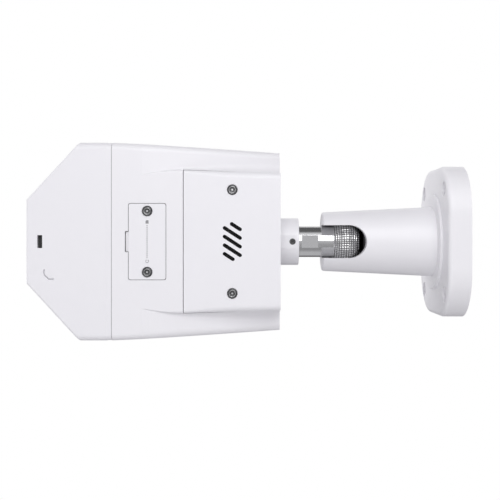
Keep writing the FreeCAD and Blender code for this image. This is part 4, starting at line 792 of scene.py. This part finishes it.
def weave(recipe, along_x):
    """One direction's wires: rows of points in a disc, joined along the row and given thickness."""
    wires = recipe["Wires"]
    line = recipe.add("GeometryNodeCurvePrimitiveLine", ("Start", (-CLOTH_R, 0, 0)),
                      ("End", (CLOTH_R, 0, 0)))
    steps = recipe.math("MULTIPLY", wires, 4.0)
    fine = recipe.add("GeometryNodeResampleCurve", ("Curve", line.outputs[0]), ("Count", steps))
    rows = recipe.add("GeometryNodeMeshLine", ("Count", wires), ("Start Location", (0, -CLOTH_R, 0)),
                      ("Offset", (0, 2 * CLOTH_R, 0)), mode="END_POINTS")
    placed = recipe.add("GeometryNodeInstanceOnPoints", ("Points", rows.outputs[0]),
                        ("Instance", fine.outputs[0]))
    real = recipe.add("GeometryNodeRealizeInstances", (0, placed.outputs[0]))
    x, y, _ = recipe.split(recipe.add("GeometryNodeInputPosition").outputs[0])
    pitch = recipe.math("DIVIDE", 2 * CLOTH_R, recipe.math("SUBTRACT", wires, 1.0))
    row = recipe.math("ROUND", recipe.math("DIVIDE", recipe.math("ADD", y, CLOTH_R), pitch))
    turn = recipe.math("MULTIPLY", recipe.math("ADD", recipe.math("DIVIDE", x, pitch), row), math.pi)
    wave = recipe.math("MULTIPLY", recipe.math("SINE", turn), recipe["Rise"])
    height = recipe.math("MULTIPLY", wave, 1.0 if along_x else -1.0)
    bent = recipe.add("GeometryNodeSetPosition", ("Geometry", real.outputs[0]),
                      ("Offset", recipe.vector(0.0, 0.0, height)))
    squares = recipe.math("ADD", recipe.math("MULTIPLY", x, x), recipe.math("MULTIPLY", y, y))
    outside = recipe.add("FunctionNodeCompare", (0, squares), (1, (CLOTH_R - WIRE_R) ** 2),
                         data_type="FLOAT", operation="GREATER_THAN")
    kept = recipe.add("GeometryNodeDeleteGeometry", ("Geometry", bent.outputs[0]),
                      ("Selection", outside.outputs[0]), domain="POINT")
    tube = recipe.tube(kept.outputs[0], recipe["Wire"], 5, caps=True)
    turned = recipe.add("GeometryNodeTransform", ("Geometry", tube),
                        ("Rotation", (0, 0, 0 if along_x else math.pi / 2)))
    return turned.outputs[0]


def make_speaker_cloth():
    recipe = Recipe("woven_wires", Wires=WIRES, Rise=WAVE_RISE, Wire=WIRE_R,
                    Material=FINISHES["acoustic_mesh"])
    both = recipe.add("GeometryNodeJoinGeometry")
    for along_x in (True, False):
        link(recipe.tree, weave(recipe, along_x), both.inputs[0])
    cloth = recipe.finish("speaker_cloth", both.outputs[0], "camera", "acoustic_mesh",
                          [Matrix.Translation(CLOTH_MIDDLE)])
    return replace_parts(cloth, "speaker_mesh")


make_speaker_cloth()

# %% [markdown]
# ## Printed pictograms on the card cover
# The cover under the nose hides the memory card and the reset button, and the real one says so in
# print. Words belong to a maker, so two plain pictograms stand here: a bent arrow for reset and a small
# card, joined by a row of dots. Each is a flat outline raised by the thickness of the ink.

# %% Pictograms
INK_THICK = 0.03 * MM
cover_low, cover_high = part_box("sd_cover")
INK_Y = (cover_low.y + cover_high.y) / 2 + 1.0 * MM
INK_END_X = 13.2 * MM
ARROW_R = 0.95 * MM
ARROW_WIDTH = 0.38 * MM
ARROW_FROM_DEG = 60
ARROW_TO_DEG = 350
CARD_HALF = (1.15 * MM, 1.00 * MM)
CARD_CUT = 0.55 * MM
DOT_R = 0.40 * MM
DOT_PITCH = 1.25 * MM
DOT_START = 2.7 * MM
DOTS = 18


def make_ink():
    return finish("grey_ink", (0.26, 0.26, 0.27), (0.32, 0.32, 0.33), (0.45, 0.55), grain=3000.0,
                  height=0.000004)


def arc(middle, radius, start_deg, end_deg, steps):
    """Points on an arc, with both ends."""
    turns = [math.radians(start_deg + (end_deg - start_deg) * k / steps) for k in range(steps + 1)]
    return [(middle[0] + radius * math.cos(a), middle[1] + radius * math.sin(a)) for a in turns]


def arc_band(middle, radius, width, start_deg, end_deg, steps=20):
    """The outline of a flat bent band, as its outer edge and then its inner edge backwards."""
    outer = arc(middle, radius + width / 2, start_deg, end_deg, steps)
    return outer + arc(middle, radius - width / 2, start_deg, end_deg, steps)[::-1]


def dot(middle, sides=12):
    return arc(middle, DOT_R, 0, 360, sides)[:-1]


def raised_outlines(name, outlines, z, thick):
    """Flat outlines in the XY plane, closed and thickened towards -Z."""
    shape = bmesh.new()
    for outline in outlines:
        face = shape.faces.new([shape.verts.new((x, y, z)) for x, y in outline])
        grown = bmesh.ops.extrude_face_region(shape, geom=[face])
        lowered = [v for v in grown["geom"] if isinstance(v, bmesh.types.BMVert)]
        bmesh.ops.translate(shape, vec=(0, 0, -thick), verts=lowered)
    return closed_mesh(name, shape)


def reset_arrow(middle):
    """A band bent almost into a circle, and the arrow head at its start."""
    tip_x, tip_y = arc(middle, ARROW_R, ARROW_FROM_DEG, ARROW_TO_DEG, 1)[0]
    head = [(0.62, -0.26), (-0.06, 0.52), (-0.22, -0.42)]
    return [arc_band(middle, ARROW_R, ARROW_WIDTH, ARROW_FROM_DEG, ARROW_TO_DEG),
            [(tip_x + x * MM, tip_y + y * MM) for x, y in head]]


def small_card(middle):
    """A card with one corner cut off."""
    x, y = middle
    w, h = CARD_HALF
    return [(x - w, y - h), (x + w - CARD_CUT, y - h), (x + w, y - h + CARD_CUT),
            (x + w, y + h), (x - w, y + h)]


def make_pictograms():
    dots = [dot((-INK_END_X + DOT_START + DOT_PITCH * k, INK_Y)) for k in range(DOTS)]
    outlines = [*reset_arrow((-INK_END_X, INK_Y)), small_card((INK_END_X, INK_Y)), *dots]
    mesh = raised_outlines("cover_pictograms", outlines, cover_low.z + INK_THICK / 4, INK_THICK)
    mesh.materials.append(make_ink())
    return add_piece("cover_pictograms", mesh, "camera", "dark_screw")


make_pictograms()

# %% [markdown]
# ## Painted shade in the card cover's gap
# A strip of black rubber stands up in the narrow gap round the cover. It is painted shade: it makes the
# gap a sharp dark line, as the shade in a deep gap does. The strip follows the cover's outline with its
# tab, so its points come from the cover's own box, at two offsets and two heights, and are closed into one
# band.

# %% Painted shade in the gap
GAP = 0.35 * MM
GAP_SHADE_DEPTH = (0.45 * MM, 1.2 * MM)
COVER_CORNER_R = 1.4 * MM
TAB_HALF = 6.7 * MM
TAB_LONG = 2.1 * MM


def corner(middle, radius, start_deg):
    return arc(middle, radius, start_deg, start_deg + 90, 6)


def cover_outline(grow):
    """The cover's edge moved outward, anticlockwise seen from above, with the tab on its -Y side."""
    half = cover_high.x
    back, front = cover_high.y, cover_low.y + TAB_LONG
    r = COVER_CORNER_R
    tab = TAB_HALF + grow
    tab_edge = [(-tab, front - grow), (-tab, cover_low.y - grow),
                (tab, cover_low.y - grow), (tab, front - grow)]
    return (corner((half - r, back - r), r + grow, 0) + corner((r - half, back - r), r + grow, 90)
            + corner((r - half, front + r), r + grow, 180) + tab_edge
            + corner((half - r, front + r), r + grow, 270))


# The black strip in the gap is painted shade.
def make_gap_shade_strip():
    z0, z1 = cover_low.z + GAP_SHADE_DEPTH[0], cover_low.z + GAP_SHADE_DEPTH[1]
    outlines = [[(x, y, z) for x, y in cover_outline(grow)]
                for grow, z in ((GAP, z0), (0.0, z0), (0.0, z1), (GAP, z1))]
    mesh = band_mesh("card_cover_seal_lip", outlines)
    return add_piece(mesh.name, mesh, "camera", "seal_rubber")


make_gap_shade_strip()

# %% [markdown]
# ## The front glass, from outside to inside
# Each of the three windows is a smoked pane. A black border is printed round its back, which hides the
# glue and the seal. Behind the slanted panes sit the lenses, with stepped black rings in their mouths
# that catch stray light. The windows are turned, so each one's own frame is measured from its pane: the
# largest face gives the direction it looks in, and the pane's box gives its middle.

# %% Window frames of reference
PANE_THICK = 2.5 * MM
PANE_SINK = 0.8 * MM
PANES = {"left": "left_window", "middle": "middle_window", "right": "right_window"}


def facet_place(name):
    """A place with its origin on the facet, its +Y into the body and its Z up."""
    mesh = nodes[name].data
    largest = max(mesh.polygons, key=lambda face: face.area)
    inward = largest.normal if largest.normal.y > 0 else -largest.normal
    inward = Vector((inward.x, inward.y, 0)).normalized()
    low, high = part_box(name)
    origin = (low + high) / 2 - inward * (PANE_SINK + PANE_THICK / 2)
    up = Vector((0, 0, 1))
    turn = Matrix((inward.cross(up), inward, up)).transposed()
    return Matrix.Translation(origin) @ turn.to_4x4()


def pane_size(name):
    """The pane's width and height in its own frame."""
    back = facet_place(name).inverted()
    points = [back @ v.co for v in nodes[name].data.vertices]
    return (max(p.x for p in points) - min(p.x for p in points),
            max(p.z for p in points) - min(p.z for p in points))


PLACES = {side: facet_place(name) for side, name in PANES.items()}
SIZES = {side: pane_size(name) for side, name in PANES.items()}
for side, (width, height) in SIZES.items():
    print(side, "pane is", round(width / MM, 1), "by", round(height / MM, 1), "mm")

# %% Printed borders
BORDER = 3.6 * MM
PANE_CORNER_R = 5.8 * MM
BORDER_EDGE = 0.5 * MM
BORDER_LIFT = 0.02 * MM
INK_IN_GLASS = 0.06 * MM


def rounded_outline(width, height, radius, steps=8):
    points = []
    for quarter, (sx, sz) in enumerate([(1, 1), (-1, 1), (-1, -1), (1, -1)]):
        middle = (sx * (width / 2 - radius), sz * (height / 2 - radius))
        points += arc(middle, radius, 90 * quarter, 90 * quarter + 90, steps)
    return points


def make_border(side):
    """A thin frame on the back of the pane, from the pane's own outline inward."""
    width, height = SIZES[side]
    back = PANE_SINK + PANE_THICK - BORDER_LIFT
    outer = rounded_outline(width - BORDER_EDGE, height - BORDER_EDGE, PANE_CORNER_R - BORDER_EDGE / 2)
    inner = rounded_outline(width - 2 * BORDER, height - 2 * BORDER, PANE_CORNER_R - BORDER / 2)
    mesh = band_mesh(side + "_window_border",
                     [[(x, y, z) for x, z in outline]
                      for outline, y in ((outer, back - INK_IN_GLASS), (inner, back - INK_IN_GLASS),
                                         (inner, back), (outer, back))])
    return add_piece(mesh.name, repeated(mesh, [PLACES[side]]), "camera", "lens_black")


for side in PANES:
    make_border(side)

# %% [markdown]
# ## Stepped rings in the lens mouths
# A lens mouth is never a smooth funnel: light would glance off it onto the sensor. It is turned in
# small steps. The recipe bends a small square section into a ring and repeats it down the funnel, each
# ring smaller than the last.

# %% Lens rings
HOOD_START = 3.9 * MM
HOOD_DEPTH = 4.0 * MM
HOOD_MOUTH_R = 11.9 * MM
HOOD_END_R = 8.5 * MM
RINGS = 7
RING_SECTION_R = 0.42 * MM


def make_lens_rings():
    recipe = Recipe("stepped_rings", Rings=RINGS, Mouth=HOOD_MOUTH_R, End=HOOD_END_R, Depth=HOOD_DEPTH,
                    Section=RING_SECTION_R, Material=FINISHES["lens_black"])
    line = recipe.add("GeometryNodeMeshLine", ("Count", recipe["Rings"]), ("Offset", (0, 0, 1.0)))
    index = recipe.add("GeometryNodeInputIndex").outputs[0]
    share = recipe.math("DIVIDE", recipe.math("ADD", index, 0.4), recipe["Rings"])
    shrink = recipe.math("SUBTRACT", recipe["Mouth"], recipe["End"])
    radius = recipe.math("SUBTRACT", recipe["Mouth"], recipe.math("MULTIPLY", share, shrink))
    depth = recipe.math("MULTIPLY", share, recipe["Depth"])
    moved = recipe.add("GeometryNodeSetPosition", ("Geometry", line.outputs[0]),
                       ("Position", recipe.vector(0.0, depth, 0.0)))
    rings = recipe.tube(recipe.hoops(moved.outputs[0], radius, 64), recipe["Section"], 4)
    places = [PLACES[side] @ Matrix.Translation((0, HOOD_START, 0)) for side in ("left", "right")]
    return recipe.finish("lens_mouth_rings", rings, "camera", "lens_black", places)


make_lens_rings()

# %% [markdown]
# ## Light chips
# The middle window hides six lamps and a light sensor. A lamp is a small yellow square, the phosphor
# over its chip, under a clear dome. The recipe puts one square in each reflector.

# %% Light chips
EMITTER_ROWS = 3
EMITTER_PITCH = (22.0 * MM, 17.0 * MM)
CHIP_DEPTH = 7.9 * MM
CHIP_SIDE = 1.7 * MM
CHIP_THICK = 0.5 * MM


def make_light_chips():
    phosphor = finish("phosphor", (0.80, 0.62, 0.10), (0.86, 0.70, 0.16), (0.5, 0.6), grain=3000.0,
                      height=0.00001, patches=900.0)
    recipe = Recipe("chip_grid", Columns=2, Rows=EMITTER_ROWS, Across=EMITTER_PITCH[0],
                    Up=EMITTER_PITCH[1] * (EMITTER_ROWS - 1), Side=CHIP_SIDE, Thick=CHIP_THICK,
                    Material=phosphor)
    grid, x, y = recipe.grid(recipe["Columns"], recipe["Rows"])
    spot = recipe.vector(recipe.math("MULTIPLY", x, recipe["Across"]), 0.0,
                         recipe.math("MULTIPLY", y, recipe["Up"]))
    moved = recipe.add("GeometryNodeSetPosition", ("Geometry", grid), ("Position", spot))
    block = recipe.add("GeometryNodeMeshCube",
                       ("Size", recipe.vector(recipe["Side"], recipe["Thick"], recipe["Side"])))
    placed = recipe.add("GeometryNodeInstanceOnPoints", ("Points", moved.outputs[0]),
                        ("Instance", block.outputs["Mesh"]))
    place = PLACES["middle"] @ Matrix.Translation((0, CHIP_DEPTH, 0))
    return recipe.finish("light_chips", placed.outputs[0], "camera", "clear_dome", [place])


make_light_chips()

# %% [markdown]
# ## Ribs on the cable grommet
# The rubber grommet in the wall side of the base grips the cable and squashes against the wall. Its face
# carries raised ribs, so that little force closes them. A recipe nests rings of a round section, sunk
# into that face until less than half of each shows, all from one circle.

# %% Grommet ribs
grommet_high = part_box("cable_grommet")[1]
RIB_R = 0.5 * MM
RIBS = 3
FIRST_RIB_R = 6.6 * MM
RIB_STEP = 2.2 * MM
RIB_SHOWS = 0.3


def make_grommet_ribs():
    recipe = Recipe("nested_ribs", Ribs=RIBS, Inner=FIRST_RIB_R, Step=RIB_STEP, Section=RIB_R,
                    Material=FINISHES["seal_rubber"])
    line = recipe.add("GeometryNodeMeshLine", ("Count", recipe["Ribs"]), ("Offset", (0, 0, 0)))
    index = recipe.add("GeometryNodeInputIndex").outputs[0]
    radius = recipe.math("ADD", recipe["Inner"], recipe.math("MULTIPLY", index, recipe["Step"]))
    ribs = recipe.tube(recipe.hoops(line.outputs[0], radius, 72), recipe["Section"], 10)
    place = Matrix.Translation((0, grommet_high.y - RIB_R * RIB_SHOWS, 0))
    return recipe.finish("grommet_ribs", ribs, "base", "seal_rubber", [place])


make_grommet_ribs()

# %% [markdown]
# ## Small parts on the main board
# A circuit board is covered with hundreds of tiny parts, such as resistors and capacitors. They sit on
# a loose grid with gaps. The recipe takes a grid of points under the board, drops some of them at
# random with a fixed seed, turns some of the rest by a quarter turn, and puts one small block on each.

# %% Board parts
board_low, board_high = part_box("main_board")
PART_SIZE = (1.6 * MM, 0.8 * MM, 0.7 * MM)
PART_COLUMNS = 26
PART_ROWS = 18
PART_SHARE = 0.55
FILLED_WIDTH = 0.86 * (board_high.x - board_low.x)
FILLED_LENGTH = 0.84 * (board_high.y - board_low.y)
PART_DROP = 0.34 * MM
PART_SEED = 7


def make_board_parts():
    long, wide, high = PART_SIZE
    recipe = Recipe("scattered_blocks", Columns=PART_COLUMNS, Rows=PART_ROWS, Width=FILLED_WIDTH,
                    Length=FILLED_LENGTH, Keep=PART_SHARE, Long=long, Wide=wide, High=high,
                    Seed=PART_SEED, Material=FINISHES["chip_black"])
    grid, x, y = recipe.grid(recipe["Columns"], recipe["Rows"])
    spot = recipe.vector(recipe.math("MULTIPLY", x, recipe["Width"]),
                         recipe.math("MULTIPLY", y, recipe["Length"]), 0.0)
    moved = recipe.add("GeometryNodeSetPosition", ("Geometry", grid), ("Position", spot))
    kept = recipe.add("FunctionNodeRandomValue", ("Probability", recipe["Keep"]), ("Seed", recipe["Seed"]),
                      data_type="BOOLEAN")
    selected = [socket for socket in kept.outputs if socket.type == "BOOLEAN"][0]
    quarter = recipe.add("FunctionNodeRandomValue", ("Seed", recipe["Seed"]), data_type="INT")
    most = [socket for socket in quarter.inputs if socket.type == "INT" and socket.name == "Max"][0]
    most.default_value = 1
    turns = [socket for socket in quarter.outputs if socket.type == "INT"][0]
    rotation = recipe.vector(0.0, 0.0, recipe.math("MULTIPLY", turns, math.pi / 2))
    block = recipe.add("GeometryNodeMeshCube",
                       ("Size", recipe.vector(recipe["Long"], recipe["Wide"], recipe["High"])))
    placed = recipe.add("GeometryNodeInstanceOnPoints", ("Points", moved.outputs[0]),
                        ("Selection", selected), ("Instance", block.outputs["Mesh"]),
                        ("Rotation", rotation))
    place = Matrix.Translation((0, (board_low.y + board_high.y) / 2, board_low.z - PART_DROP))
    return recipe.finish("board_small_parts", placed.outputs[0], "camera", "chip_black", [place])


make_board_parts()
